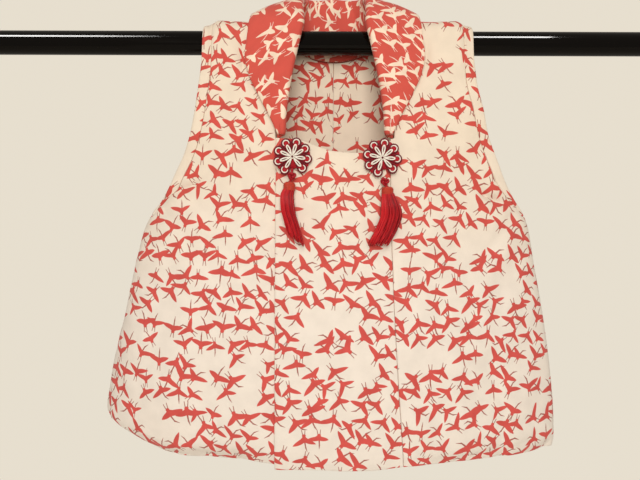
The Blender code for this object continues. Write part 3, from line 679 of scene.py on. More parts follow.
def normals(place, u, drop, end_weight=None):
    """Unit normals of place(u, drop). Where end_weight is 1, the last column faces straight out."""
    along = place(u + STEP, drop) - place(u - STEP, drop)
    down = place(u, drop + STEP) - place(u, drop - STEP)
    if end_weight is not None:
        ahead = np.array([0.0, 1.0, 0.0]) * np.where(drop[:, -1:] < 0, 1, -1)
        along[:, -1] = unit(along[:, -1]) * (1 - end_weight[:, None]) + ahead * end_weight[:, None]
    return unit(np.cross(along, down))


def spaced(length, cell=CELL, edge=(0.0, 0.0002, 0.0006, 0.0012, 0.0021, 0.0035, 0.0058)):
    """Shares from 0 to 1 along a length, close together at both ends."""
    edge = np.array(edge)
    middle = np.linspace(edge[-1], length - edge[-1], max(2, round((length - 2 * edge[-1]) / cell) + 1))
    return np.concatenate([edge[:-1], middle, length - edge[-2::-1]]) / length


def distances(points, axis):
    """How far each point of a grid is from the first and from the last, along one axis."""
    step = np.linalg.norm(np.diff(points, axis=axis), axis=-1)
    start = np.zeros_like(np.take(step, [0], axis=axis))
    run = np.concatenate([start, np.cumsum(step, axis=axis)], axis=axis)
    return run, np.take(run, [-1], axis=axis) - run


def swell(edge, distance):
    """The share of the wall's full thickness at a distance from an edge."""
    near = np.clip(distance / edge.round_width, 0, 1)
    arc = edge.thin + (edge.full_share - edge.thin) * np.sqrt(1 - (1 - near) ** 2)
    return arc + (1 - edge.full_share) * smooth_step(distance, 0, edge.full_width)


def thickness_of(points, full, edges):
    """A grid of thicknesses. edges names the first row, last row, first and last column."""
    top, bottom = distances(points, 0)
    left, right = distances(points, 1)
    shares = [swell(edge, d) for edge, d in zip(edges, (top, bottom, left, right))]
    return full * np.minimum.reduce(shares)


def new_object(name, data):
    made = bpy.data.objects.new(name, data)
    bpy.context.scene.collection.objects.link(made)
    return made


def add_object(name, mesh, *looks):
    for look in looks:
        mesh.materials.append(look)
    mesh.shade_smooth()
    return new_object(name, mesh)


def closed_mesh(name, vertices, faces):
    """A mesh with its faces pointing out."""
    mesh = bpy.data.meshes.new(name)
    mesh.from_pydata(np.asarray(vertices).tolist(), [], faces)
    shape = bmesh.new()
    shape.from_mesh(mesh)
    bmesh.ops.recalc_face_normals(shape, faces=shape.faces)
    shape.to_mesh(mesh)
    shape.free()
    return mesh


def set_cloth_map(mesh, flat):
    """Stores each vertex's flat coordinates, in metres, on the mesh."""
    layer = mesh.uv_layers.new(name="cloth")
    corner = np.zeros(len(mesh.loops), int)
    mesh.loops.foreach_get("vertex_index", corner)
    layer.data.foreach_set("uv", np.asarray(flat)[corner].ravel())


def wall(name, points, out, thickness, flat, look):
    """A closed wall about a grid of middle points. flat has each point's place on the flat cloth."""
    rows, columns = points.shape[:2]
    half = out * thickness[..., None] / 2
    vertices = np.concatenate([(points + half).reshape(-1, 3), (points - half).reshape(-1, 3)])
    inner = rows * columns
    grid = np.arange(inner).reshape(rows, columns)
    quads = np.stack([grid[:-1, :-1], grid[:-1, 1:], grid[1:, 1:], grid[1:, :-1]], axis=-1).reshape(-1, 4)
    rim = np.concatenate([grid[0], grid[1:, -1], grid[-1, -2::-1], grid[-2:0:-1, 0]])
    after = np.roll(rim, -1)
    sides = np.stack([rim, after, after + inner, rim + inner], axis=-1)
    faces = np.concatenate([quads, quads[:, ::-1] + inner, sides]).tolist()
    mesh = closed_mesh("vest_" + name, vertices, faces)
    flat = flat + next(cut.print_place for cut in CUTS if cut.node == name)
    set_cloth_map(mesh, np.concatenate([flat.reshape(-1, 2), flat.reshape(-1, 2) + LINING_SHIFT]))
    return add_object("vest_" + name, mesh, look)


def cloth_piece(name, look, smooth, out, stand, edges, flat):
    """A piece of padded cloth about its even surface, which its relief lifts by stand."""
    points = smooth + out * stand[..., None]
    return wall(name, points, out_of_grid(points, out), thickness_of(points, WALL, edges), flat, look)


def flat_places(points, drop, first_x):
    """Where each point lies on the flat cloth: across from its row's start, and along the cloth."""
    run, _ = distances(points, 1)
    return np.stack([first_x + run, drop], axis=-1)


def band_width(drop):
    above = height(drop) - UNDERARM_Z
    return ARMHOLE_BAND_TIP + (ARMHOLE_BAND - ARMHOLE_BAND_TIP) * smooth_step(above, 0, ARMHOLE_TAPER)


def armhole_drops():
    rise = (np.arange(ARMHOLE_ROWS) / ARMHOLE_ROWS) ** ARMHOLE_CROWDING
    side = back(UNDERARM_Z * (1 - rise))
    return np.concatenate([-side, np.linspace(-QUARTER, QUARTER, SHOULDER_ROWS), side[::-1]])


def front_seam_x(side, z):
    if side < 0:
        return np.full_like(z, UNDER_SEAM_X)
    return BAND_SEAM_X + BAND_SEAM_FLARE * ((FRONT_EDGE_TOP_Z - z) / (FRONT_EDGE_TOP_Z - HEM_Z)) ** 2


def neckline(at):
    """x and drop of the neck seam, from the centre of the back at 0 to the front tip at 1."""
    turn = (1 - 2 * np.clip(at, 0, 0.5)) * math.pi / 2
    back_x, back_drop = NECK_HALF_WIDTH * np.cos(turn), back(BACK_NECK_Z) * np.sin(turn)
    down = np.clip(2 * at - 1, 0, 1) * -front(FRONT_EDGE_TOP_Z)
    front_x = column(FRONT_NECK, "z", "x", QUARTER - down)
    return np.where(at < 0.5, back_x, front_x), np.where(at < 0.5, back_drop, -down)


def finer(spacing):
    """Row numbers with steps of about a cell between rows that lie spacing apart, and closer at the hems."""
    rows = []
    for row, gap in enumerate(spacing):
        steps = max(1, round(gap / CELL))
        if row in (0, len(spacing) - 1):
            steps = max(steps, HEM_STEPS)
        rows.extend(row + np.arange(steps) / steps)
    return np.array(rows + [len(spacing)])


def body_edges(side):
    """x and drop of the body's inner edge and its outer edge, row by row from front to back hem."""
    low_z = np.concatenate([[HEM_Z, HEM_Z + EDGE_MARGIN], np.linspace(HEM_Z + 0.016, CLOSED_Z, 9)])
    arm = armhole_drops()
    upper_rows = len(arm) - CHEST_ROWS - NECK_ROWS
    chest = np.linspace(UNDERARM_Z, FRONT_EDGE_TOP_Z, CHEST_ROWS + 1)
    upper = np.linspace(BACK_NECK_Z, UNDERARM_Z, upper_rows + 1)
    last = 2 * LOW_ROWS + len(arm) - 1
    drops = np.concatenate([front(low_z), arm, back(low_z[::-1])])
    neck_start, neck_end = LOW_ROWS + CHEST_ROWS, LOW_ROWS + CHEST_ROWS + NECK_ROWS - 1
    front_rows, back_rows = np.concatenate([low_z, chest]), np.concatenate([upper, low_z[::-1]])
    coarse = np.concatenate([front(front_rows), 0 * drops[neck_start + 1 : neck_end], back(back_rows)])
    spacing = np.abs(np.diff(coarse))
    spacing[neck_start:neck_end] = CELL
    row = finer(np.maximum(spacing, np.abs(np.diff(drops))))
    front_z = np.interp(row, np.arange(neck_start + 1), front_rows)
    back_z = np.interp(row, np.arange(neck_end, last + 1), back_rows)
    neck_x, neck_drop = neckline(np.clip((neck_end - row) / (neck_end - neck_start), 0, 1))
    is_front, is_neck = row < neck_start, (row >= neck_start) & (row < neck_end)
    inner_x = np.where(is_front, front_seam_x(side, front_z), np.where(is_neck, neck_x, 0)) + SEAM_GAP / 2
    inner_drop = np.where(is_front, front(front_z), np.where(is_neck, neck_drop, back(back_z)))
    outer_drop = np.interp(row, np.arange(last + 1), drops)
    ramp = np.clip(row - (LOW_ROWS - 1), 0, 1) * np.clip(last - LOW_ROWS + 1 - row, 0, 1)
    inset = (band_width(outer_drop) + SEAM_GAP / 2) * ramp
    return inner_x, inner_drop, side_x(side, outer_drop) - inset, outer_drop


def drawn_in(drop):
    """How far the side is drawn closed, from 0 beside the armhole to 1 at the underarm and below."""
    return smooth_step(-height(drop), TUCK_TOP, -CLOSED_Z)


def hem_rise(side, drop, along):
    """How much shorter the cloth is towards the side seam, most at the hem."""
    down = np.clip((CLOSED_Z - height(drop)) / (CLOSED_Z - HEM_Z), 0, 1) ** 2
    return np.sign(drop) * HEM_RISE[side] * down * smooth_step(along, RISE_START, RISE_END)


def body(side, look):
    """One half of the vest: front, shoulder and back in one length of cloth."""
    inner_x, inner_drop, outer_x, outer_drop = body_edges(side)
    along = spaced(HALF_WIDTH)
    width = side_x(side, outer_drop)
    start = np.arcsin(inner_x / side_x(side, inner_drop))[:, None]
    reach = (outer_x / width)[:, None]
    below = smooth_step(-height(outer_drop), -CLOSED_Z, EVEN_Z)[:, None]
    first_open = np.arcsin(reach[reach < 1][0])
    end = np.where(reach < 1, np.arcsin(reach), first_open + (math.pi / 2 - first_open) * below)
    even = inner_drop[:, None] + (outer_drop - inner_drop)[:, None] * along
    drop = even - hem_rise(side, even, along)
    share = (np.sin(start + (end - start) * along) - np.sin(start)) / (np.sin(end) - np.sin(start))
    share = np.sin(start) + (reach - np.sin(start)) * share

    def place(u, v):
        points = cloth(side, u, v)
        if side > 0:
            points[..., 1] -= raised(points[..., 0], v)
        return points

    smooth = place(share, drop)
    out = normals(place, share, drop, section(side, "closed", height(outer_drop)) * (outer_x == width))
    _, from_side = distances(smooth, 1)
    fade = 1 - drawn_in(outer_drop)[:, None] * (1 - smooth_step(from_side, 0, SIDE_FADE))
    stand = side * relief(smooth[..., 0], even) * fade
    flat = flat_places(smooth, drop, inner_x[:, None]) * [side, 1]
    return cloth_piece("body_" + SIDE_NAMES[side], look, smooth, out, stand, (FOLD, FOLD, SEAM, SEAM), flat)


def out_of_grid(points, out):
    """Normals of a grid of points on the side that out faces, with out kept round the rim."""
    made = unit(np.cross(np.gradient(points, axis=1), np.gradient(points, axis=0)))
    made *= np.sign((made * out).sum(axis=-1, keepdims=True))
    made[:, [0, -1]] = out[:, [0, -1]]
    return made


def front_band(side, free_x, top, forward, hang, look):
    """A straight band down the front, from the seam on its own side to its free edge.

    top gives its upper edge, forward how far out it lies, and hang how much lower it hangs.
    """
    across, up = spaced(BAND_WIDTH), spaced(BAND_LENGTH)[:, None]
    guess = side * BAND_SEAM_X + (free_x - side * BAND_SEAM_X) * across
    low_z = HEM_Z - hang * smooth_step(across, 0, HANG_SPREAD)
    z = low_z + (column(top, "x", "z", guess) - low_z) * up
    seam = side * (front_seam_x(side, z) - SEAM_GAP / 2)
    x = seam + (free_x - seam) * across

    def place(u, v):
        points = surface(u, v)
        points[..., 1] -= forward
        return points

    drop = front(z)
    points, out = place(x, drop), normals(place, x, drop)
    flat = np.stack([x, drop], axis=-1)
    name = "front_band_" + SIDE_NAMES[side]
    return cloth_piece(name, look, points, out, relief(x, drop), (FOLD, FOLD, SEAM, FOLD), flat)


def armhole_band(side, look):
    """The narrow band that edges an armhole, from underarm to underarm over the shoulder."""
    coarse = armhole_drops()
    drop = np.interp(finer(np.diff(coarse)), np.arange(len(coarse)), coarse)
    across = spaced(ARMHOLE_BAND, 0.002, (0.0, 0.0002, 0.0006, 0.0013, 0.0025))
    edge, width = side_x(side, drop), band_width(drop)
    x = (edge - width + SEAM_GAP / 2)[:, None] + (width - SEAM_GAP / 2)[:, None] * across
    share = x / edge[:, None]
    drop = np.repeat(drop[:, None], len(across), axis=1)

    def place(u, v):
        return cloth(side, u, v)

    smooth = place(share, drop)
    stand = side * relief(smooth[..., 0], drop) * (1 - drawn_in(drop))
    out, flat = normals(place, share, drop), flat_places(smooth, drop, 0) * [side, 1]
    edges = (FOLD, FOLD, SEAM, FOLD)
    return cloth_piece("armhole_band_" + SIDE_NAMES[side], look, smooth, out, stand, edges, flat)


def collar_half():
    """The middle of the folded collar, row by row from the centre of the back to the front tip."""
    at = np.concatenate([np.linspace(0, 0.5, 33)[:-1], np.linspace(0.5, 1, 49)])
    seam = side_surface(1, *neckline(at))

    def read(name):
        return column(COLLAR_ROWS, "at", name, at)

    fold = np.stack([read("fold_x"), read("fold_y"), read("fold_z")], axis=1)
    edge_x, edge_drop = read("edge_x"), read("edge_drop")

    def place(u, v):
        return side_surface(1, u, v)

    edge = place(edge_x, edge_drop)
    edge = edge + normals(place, edge_x, edge_drop) * read("out")[:, None]
    path = np.gradient(fold, axis=0)
    path[0] = (1, 0, 0)
    rise = unit(fold - seam)
    outward = unit(np.cross(rise, path))
    rise = unit(np.cross(path, outward))
    seam = seam + rise * STAND_START
    base = fold - rise * FOLD_RADIUS - outward * FOLD_RADIUS
    middle = [seam + (base - seam) * share for share in np.linspace(0, 1, 8)]
    for angle in np.radians(np.linspace(20, 160, 8)):
        around = rise * math.sin(angle) + outward * (1 - math.cos(angle))
        middle.append(base + around * FOLD_RADIUS)
    far = base + outward * 2 * FOLD_RADIUS
    full = np.minimum(1, np.linalg.norm(edge - far, axis=1) / FULL_FALL)[:, None]
    for share in FALL_SHARES:
        bow = outward * FALL_FULLNESS * math.sin(math.pi * share) * full
        middle.append(far + (edge - far) * share + bow)
    return np.stack(middle, axis=1)


def collar(look):
    """The collar, one strip that stands up from the neck seam and folds over outwards."""
    half = collar_half()
    mirrored = (half * np.array([-1, 1, 1]))[:0:-1]
    middle = np.concatenate([mirrored, half])
    out = unit(np.cross(np.gradient(middle, axis=0), np.gradient(middle, axis=1)))
    thickness = thickness_of(middle, COLLAR_WALL, (SEAM, SEAM, SEAM, FOLD))
    across, _ = distances(middle, 1)
    along, _ = distances(middle, 0)
    centre = along[len(half) - 1]
    strip = (along - centre).mean(axis=1, keepdims=True) + 0 * across
    stand = 0 * strip
    for crease in COLLAR_CREASES:
        off = (strip - crease.strip - crease.slant * across) / crease.width
        inside = smooth_step(across, crease.start - 0.004, crease.start + 0.004)
        inside *= 1 - smooth_step(across, crease.end - 0.004, crease.end + 0.004)
        stand += crease.depth * np.exp(-(off**2)) * inside
    middle = middle + out * stand[..., None]
    out = unit(np.cross(np.gradient(middle, axis=0), np.gradient(middle, axis=1)))
    flat = np.stack([across, strip], axis=-1)
    return wall("collar", middle, out, thickness, flat, look)


# Cord work.


def ring_faces(count, size, closed=False):
    """The faces between rings of points, each ring joined to the next one."""
    faces = []
    for i in range(count if closed else count - 1):
        a, b = i * size, (i + 1) % count * size
        for j in range(size):
            k = (j + 1) % size
            faces.append((a + j, a + k, b + k, b + j))
    return faces


def end_faces(count, size):
    return [tuple(range(size))[::-1], tuple((count - 1) * size + j for j in range(size))]


def flat_of_rings(run, size):
    """The flat map of rings of points: run, the length along the shape, and the share of a turn."""
    return np.stack(np.broadcast_arrays(run, np.arange(size) / size), axis=-1).reshape(-1, 2)


def ring_shape(rings):
    """A closed shape through rings of points, with a flat face over the first and the last."""
    rings = np.asarray(rings)
    count, size = rings.shape[:2]
    run, _ = distances(rings, 0)
    return rings.reshape(-1, 3), end_faces(count, size) + ring_faces(count, size), flat_of_rings(run, size)


def tube(path, radius, sides, first_side=0.0, closed=False):
    """Vertices and faces of a cord along a path, with its flat map."""
    path = np.asarray(path, float)
    count = len(path)
    if closed:
        ahead = unit(np.roll(path, -1, axis=0) - np.roll(path, 1, axis=0))
    else:
        ahead = unit(np.gradient(path, axis=0))
    first = unit(np.cross(ahead, np.array([0.0, 1.0, 0.0]) + 1e-6))
    second = unit(np.cross(ahead, first))
    radius = np.broadcast_to(np.asarray(radius, float), (count,))
    turn = first_side + np.arange(sides) * 2 * math.pi / sides
    ring = first[:, None] * np.cos(turn)[:, None] + second[:, None] * np.sin(turn)[:, None]
    vertices = (path[:, None] + ring * radius[:, None, None]).reshape(-1, 3)
    faces = ring_faces(count, sides, closed) + ([] if closed else end_faces(count, sides))
    length = np.concatenate([[0], np.cumsum(np.linalg.norm(np.diff(path, axis=0), axis=1))])
    return vertices, faces, flat_of_rings(length[:, None], sides)


class Bundle:
    """Several closed shapes gathered into one mesh, each with its material and a shade."""

    def __init__(self):
        self.vertices, self.faces, self.flat, self.look, self.shade = [], [], [], [], []
        self.count = 0

    def add(self, shape, look=0, shade=0.5):
        vertices, faces, flat = shape
        self.vertices.append(vertices)
        self.flat.append(flat)
        self.faces.extend(tuple(v + self.count for v in face) for face in faces)
        self.look.extend([look] * len(faces))
        self.shade.extend([shade] * len(faces))
        self.count += len(vertices)

    def object(self, name, *looks):
        mesh = closed_mesh(name, np.concatenate(self.vertices), self.faces)
        mesh.polygons.foreach_set("material_index", self.look)
        shade = mesh.attributes.new("shade", "FLOAT", "FACE")
        shade.data.foreach_set("value", np.array(self.shade, np.float32))
        set_cloth_map(mesh, np.concatenate(self.flat))
        return add_object(name, mesh, *looks)


def front_face(x, z):
    drop = front(np.asarray(z, float))
    points = surface(x, drop)
    return points[..., 1] - raised(np.abs(points[..., 0]), drop) - WALL / 2


def seat(x, z, half_width, half_height):
    """Where the back of a flat piece lies, just clear of the cloth under all of it."""
    across = np.linspace(-half_width, half_width, 5)
    up = np.linspace(-half_height, half_height, 5)[:, None]
    return front_face(x + across, z + up).min() - SEAM_GAP


def circle(radius, points):
    turn = np.arange(points) * 2 * math.pi / points
    return radius * np.cos(turn), radius * np.sin(turn)


def petal_outline(half_width, tip, root, count):
    """A drop-shaped loop in a petal's own plane: points (along, across) from root to tip and back."""
    turn = np.linspace(0, 2 * math.pi, count, endpoint=False)
    along = root + (tip - root) * (1 - np.cos(turn)) / 2
    share = (along - root) / (tip - root)
    across = half_width * np.sin(turn) * (0.35 + 0.65 * share**0.8)
    return along, across


def flower(ornament, looks):
    """A rosette of braided cord: eight petals on a round backing, each three loops, one in another."""
    bundle = Bundle()
    back_y = seat(ornament.x, ornament.z, BACKING_RADIUS, BACKING_RADIUS)
    low = BACKING_THICKNESS

    def place(angle, outline, rise):
        a, (along, across) = math.radians(angle), outline
        x = ornament.x + along * math.cos(a) - across * math.sin(a)
        z = ornament.z + along * math.sin(a) + across * math.cos(a)
        return np.stack([x, back_y - rise + 0 * x, z], axis=-1)

    def flat(angle, outline, centre, levels, look, shade):
        along, across = outline
        rings = []
        for share, rise in levels:
            ring = (centre + (along - centre) * share, across * share)
            rings.append(place(angle, ring, rise))
        bundle.add(ring_shape(rings), look, shade)

    def disc(radius, bottom, top, look, shade):
        levels = ((0.95, bottom), (1.0, (bottom + top) / 2), (0.9, top), (0.4, top))
        flat(0, circle(radius, 32), 0, levels, look, shade)

    def pad(angle, row, shade):
        top = low + row.rise
        levels = ((1.0, low), (1.0, (top + low) / 2), (0.86, top), (0.4, top + 0.0001))
        outline = petal_outline(row.half_width, row.tip, row.root, row.points)
        flat(angle, outline, row.centre, levels, row.look, shade)

    def cord(angle, outline, thick, rise, look, shade, closed=False):
        bundle.add(tube(place(angle, outline, low + rise), thick, CORD_SIDES, closed=closed), look, shade)

    disc(BACKING_RADIUS, 0.0, low + BACKING_CROWN, CRIMSON, 0.35)
    step = (360 - ornament.knot_gap) / (PETALS - 1)
    for i in range(PETALS):
        angle = -90 + ornament.knot_gap / 2 + ornament.turn + step * i
        pad(angle, PETAL_PAD, 0.4 + 0.1 * (i % 3))
        if i:
            pad(angle - step / 2, GAP_PAD, 0.45)
        for row in (LOOP, CRESCENT):
            turn = np.radians(np.linspace(-row.turn, row.turn, row.points))
            along, across = LOOP_CENTRE + row.radius * np.cos(turn), row.radius * np.sin(turn)
            thick = row.thin + row.swell * np.sin(np.linspace(0, math.pi, row.points)) ** 0.5
            if row is LOOP:
                along = np.pad(along, 1, constant_values=LOOP_ROOT)
                across = np.pad(across, 1, constant_values=(-LOOP_ROOT_HALF, LOOP_ROOT_HALF))
                thick = row.thin
            cord(angle, (along, across), thick, row.rise, row.look, row.shade)
        pad(angle, CORE_PAD, 0.0)
        inner = petal_outline(INNER_HALF_WIDTH, INNER_TIP, INNER_ROOT, 32)
        cord(angle, inner, INNER_THICK, INNER_RISE, CREAM, 0.8, closed=True)
    cord(0, circle(HUB_RING, 24), HUB_THICK, HUB_HIGH, CREAM, 0.35, closed=True)
    disc(HUB_RADIUS, low + HUB_LOW, low + HUB_HIGH, MAROON, 0.0)
    return bundle.object("cord_flower_" + ornament.name, *looks)


def knot(ornament, look):
    """The cord knot below a flower, with its cord above and below."""
    bundle = Bundle()
    y = seat(ornament.knot_x, ornament.knot_z, KNOT_REACH, KNOT_REACH) - KNOT_REACH
    turn = np.linspace(0, 2 * math.pi, 160, endpoint=False)
    reach = KNOT_RADIUS + KNOT_WAVE * np.cos(3 * turn)
    x = ornament.knot_x + 1.04 * reach * np.cos(2 * turn + 0.5)
    z = ornament.knot_z + 0.92 * reach * np.sin(2 * turn + 0.5)
    path = np.stack([x, y + KNOT_DEPTH * np.sin(3 * turn), z], axis=-1)
    bundle.add(tube(path, KNOT_THICK, 10, closed=True), 0, 0.45)
    foot = ornament.head_z + ornament.head_half_height - 0.0004
    for low, high, x_low, x_high in (
        (foot, ornament.knot_z - KNOT_HALF_HEIGHT, ornament.head_x, ornament.knot_x),
        (ornament.knot_z + KNOT_HALF_HEIGHT, ornament.top_z, ornament.knot_x, ornament.x),
    ):
        up = np.linspace(0, 1, 8)
        for shade, shift in ((0.30, -CORD_APART), (0.65, CORD_APART)):
            x = x_low + (x_high - x_low) * up + shift * np.cos(up * 5)
            path = np.stack([x, y + 0 * up, low + (high - low) * up], axis=-1)
            bundle.add(tube(path, CORD_THICK, CORD_SIDES), 0, shade)
    return bundle.object("cord_knot_" + ornament.name, look)


def head_y(ornament):
    height = ornament.head_half_height
    return seat(ornament.head_x, ornament.head_z, HEAD_HALF_WIDTH, height) - HEAD_HALF_DEPTH


def tassel_head(ornament):
    """The head, a barrel wound with thread in uneven turns."""
    turn = np.arange(32) * 2 * math.pi / 32
    down = np.linspace(0, 1, 85)
    width = np.interp(down, values(HEAD_PROFILE, "down"), values(HEAD_PROFILE, "width"))
    wander = 0.10 * np.sin(down[:, None] * 9 + 2 * np.cos(turn))
    groove = np.abs(np.sin(math.pi * (down[:, None] * WINDINGS + turn / (2 * math.pi) + wander)))
    width = width[:, None] - (1 - groove) * WINDING_HEIGHT / HEAD_HALF_DEPTH
    x = ornament.head_x + HEAD_HALF_WIDTH * width * np.cos(turn)
    y = head_y(ornament) + HEAD_HALF_DEPTH * width * np.sin(turn)
    z = ornament.head_z + ornament.head_half_height * (1 - 2 * down[:, None]) + 0 * x
    return ring_shape(np.stack([x, y, z], axis=-1))


def strand(ornament, angle, share, end_z, stray, draw):
    """One strand, from its root in the head to its end. share is how far out in the skirt it is."""
    root_z = ornament.head_z - ornament.head_half_height * ROOT_DOWN
    down = np.linspace(0, 1, STRAND_STEPS + 1)
    z = root_z + (end_z - root_z) * down
    opened = smooth_step(down, 0, 0.4)
    middle = column(ornament.skirt, "down", "x", down)
    lock = 1 + LOCK_DEPTH * opened * math.cos(LOCKS * angle)
    across = math.cos(angle) * share * lock
    x = middle + across * column(ornament.skirt, "down", "half_width", down)
    hung = np.array([seat(*at, SKIRT_REACH, SKIRT_REACH) for at in zip(middle, z)]) - SKIRT_BACK
    half_depth = ROOT_HALF_DEPTH + (SKIRT_HALF_DEPTH - ROOT_HALF_DEPTH) * opened
    y = head_y(ornament) * (1 - opened) + hung * opened + math.sin(angle) * share * lock * half_depth
    phase = draw.uniform(0, 2 * math.pi)
    wander = down**1.5 * stray
    x = x + wander * np.sin(down * 5 + phase)
    radius = STRAND_RADIUS * (0.85 + 0.15 * opened) * np.where(down == 1, 0.5, 1)
    return tube(np.stack([x, y, z], axis=-1), radius, STRAND_SIDES, phase)


def tassel(ornament, looks):
    """A wound head and a skirt of silk strands rooted in it."""
    draw = np.random.default_rng(STRAND_SEED)
    bundle = Bundle()
    bundle.add(tassel_head(ornament), 1, 0.5)
    for ring in STRAND_RINGS:
        for i in range(ring.strands):
            angle = 2 * math.pi * (i + ring.share) / ring.strands
            slant = ornament.slant * math.cos(angle) * ring.share
            end_z = ornament.end_z - slant + draw.uniform(0, STRAND_UNEVEN)
            shape = strand(ornament, angle, ring.share, end_z, draw.uniform(0, STRAND_STRAY), draw)
            # Each group of strands takes a random level between the silk's dark and light colours: partly the silk's
            # uneven tone, partly painted highlight and painted shade streaks.
            if i % SHADE_GROUP == 0:
                shade = draw.uniform(0, 1)
            bundle.add(shape, 0, 0.75 * shade + 0.25 * draw.uniform(0, 1))
    return bundle.object("silk_tassel_" + ornament.name, *looks)


# Materials.


class Field:
    """A number at each point of a surface, made by shader nodes."""

    def __init__(self, tree, socket):
        self.tree = tree
        self.socket = socket

    def math(self, operation, *others):
        made = self.tree.nodes.new("ShaderNodeMath")
        made.operation = operation
        set_inputs(self.tree, made.inputs, (self, *others))
        return Field(self.tree, made.outputs[0])

    def __neg__(self):
        return self.math("MULTIPLY", -1.0)

    def step(self, low, high):
        """Runs smoothly from 0 to 1 as the number goes from low to high."""
        return field(self.tree, node(self.tree, "MapRange", SMOOTH, value=self, from_min=low, from_max=high))


def method(operation):
    """A method of Field that does one operation with the fields or numbers given to it."""
    return lambda self, *others: self.math(operation, *others)


SMOOTH = {"interpolation_type": "SMOOTHSTEP"}
METHODS = {
    "__add__": "ADD", "__sub__": "SUBTRACT", "__mul__": "MULTIPLY", "__truediv__": "DIVIDE",
    "__abs__": "ABSOLUTE", "power": "POWER", "sqrt": "SQRT", "floor": "FLOOR", "cos": "COSINE",
    "sin": "SINE", "sign": "SIGN", "most": "MAXIMUM", "least": "MINIMUM", "over": "GREATER_THAN",
    "under": "LESS_THAN",
}
for name, operation in METHODS.items():
    setattr(Field, name, method(operation))


def set_input(tree, slot, value):
    """Gives a socket a field or a plain value."""
    if isinstance(value, Field):
        tree.links.new(value.socket, slot)
    elif isinstance(value, bpy.types.NodeSocket):
        tree.links.new(value, slot)
    else:
        slot.default_value = value


def set_inputs(tree, slots, given):
    for slot, value in zip(slots, given):
        set_input(tree, slot, value)


def set_named(tree, made, **inputs):
    """Sets a node's inputs, which are named in lower case."""
    names = [name.replace("_", " ").title().replace("Ior", "IOR") for name in inputs]
    set_inputs(tree, [made.inputs[name] for name in names], inputs.values())


def node(tree, kind, settings=(), **inputs):
    """A new node with its settings and its inputs."""
    made = tree.nodes.new("ShaderNode" + kind)
    for name, value in dict(settings).items():
        setattr(made, name, value)
    set_named(tree, made, **inputs)
    return made


def field(tree, made, output=0):
    return Field(tree, made.outputs[output])


def vector(tree, x, y, z=0.0):
    made = tree.nodes.new("ShaderNodeCombineXYZ")
    set_inputs(tree, made.inputs, (x, y, z))
    return made.outputs[0]


def noise(tree, place, scale, detail):
    return field(tree, node(tree, "TexNoise", vector=place, scale=scale, detail=detail))


def parts(tree, socket, kind="SeparateXYZ"):
    """The three fields of a vector or a colour."""
    made = tree.nodes.new("ShaderNode" + kind)
    tree.links.new(socket, made.inputs[0])
    return [field(tree, made, i) for i in range(3)]


def cloth_place(tree):
    return node(tree, "UVMap", {"uv_map": "cloth"}).outputs[0]


def object_place(tree):
    return node(tree, "TexCoord").outputs["Object"]


def new_look(name):
    """A new material, its nodes and its shader."""
    made = bpy.data.materials.new(name)
    made.use_nodes = True
    return made, made.node_tree, made.node_tree.nodes["Principled BSDF"]


def colour_mix(tree, factor, first, second):
    made = tree.nodes.new("ShaderNodeMix")
    made.data_type = "RGBA"
    set_input(tree, made.inputs[0], factor)
    ends = [(*value, 1.0) if isinstance(value, tuple) else value for value in (first, second)]
    set_inputs(tree, made.inputs[6:8], ends)
    return made.outputs[2]


# The flying crane of the print, in units of half its wingspan. It flies along +u.
NECK, BILL, LEGS = table(
    "length thick taper",
    (0.46, 0.066, 0.022),
    (0.42, 0.06, 0.048),
    (0.58, 0.04, 0.014),
)
CRANE_JITTER = 0.52
# Where along the collar its cranes turn, and by how much.
TURNED_Y = -0.085
TURNED = 1.15
EDGE_BLUR = 0.05
NECK_ROOT = 0.12
LEG_ROOT = (-0.34, 0.07)
LEG_WAY = (-0.99, 0.14)
# How finely the flocks and the blanks between them change over the cloth, and how far a flock leans.
FLOCK_SCALE = 15.0
BLANK_SCALE = 26.0
MOST_LEAN = 0.72


def limb(u, v, start, ahead, shape):
    """How deep inside a tapering limb a point is, above 0 inside. ahead is the limb's direction."""
    u, v = u - start[0], v - start[1]
    along = (u * ahead[0] + v * ahead[1]).most(0.0).least(shape.length)
    off = ((u - along * ahead[0]).power(2.0) + (v - along * ahead[1]).power(2.0)).sqrt()
    return along * (-shape.taper / shape.length) + shape.thick - off


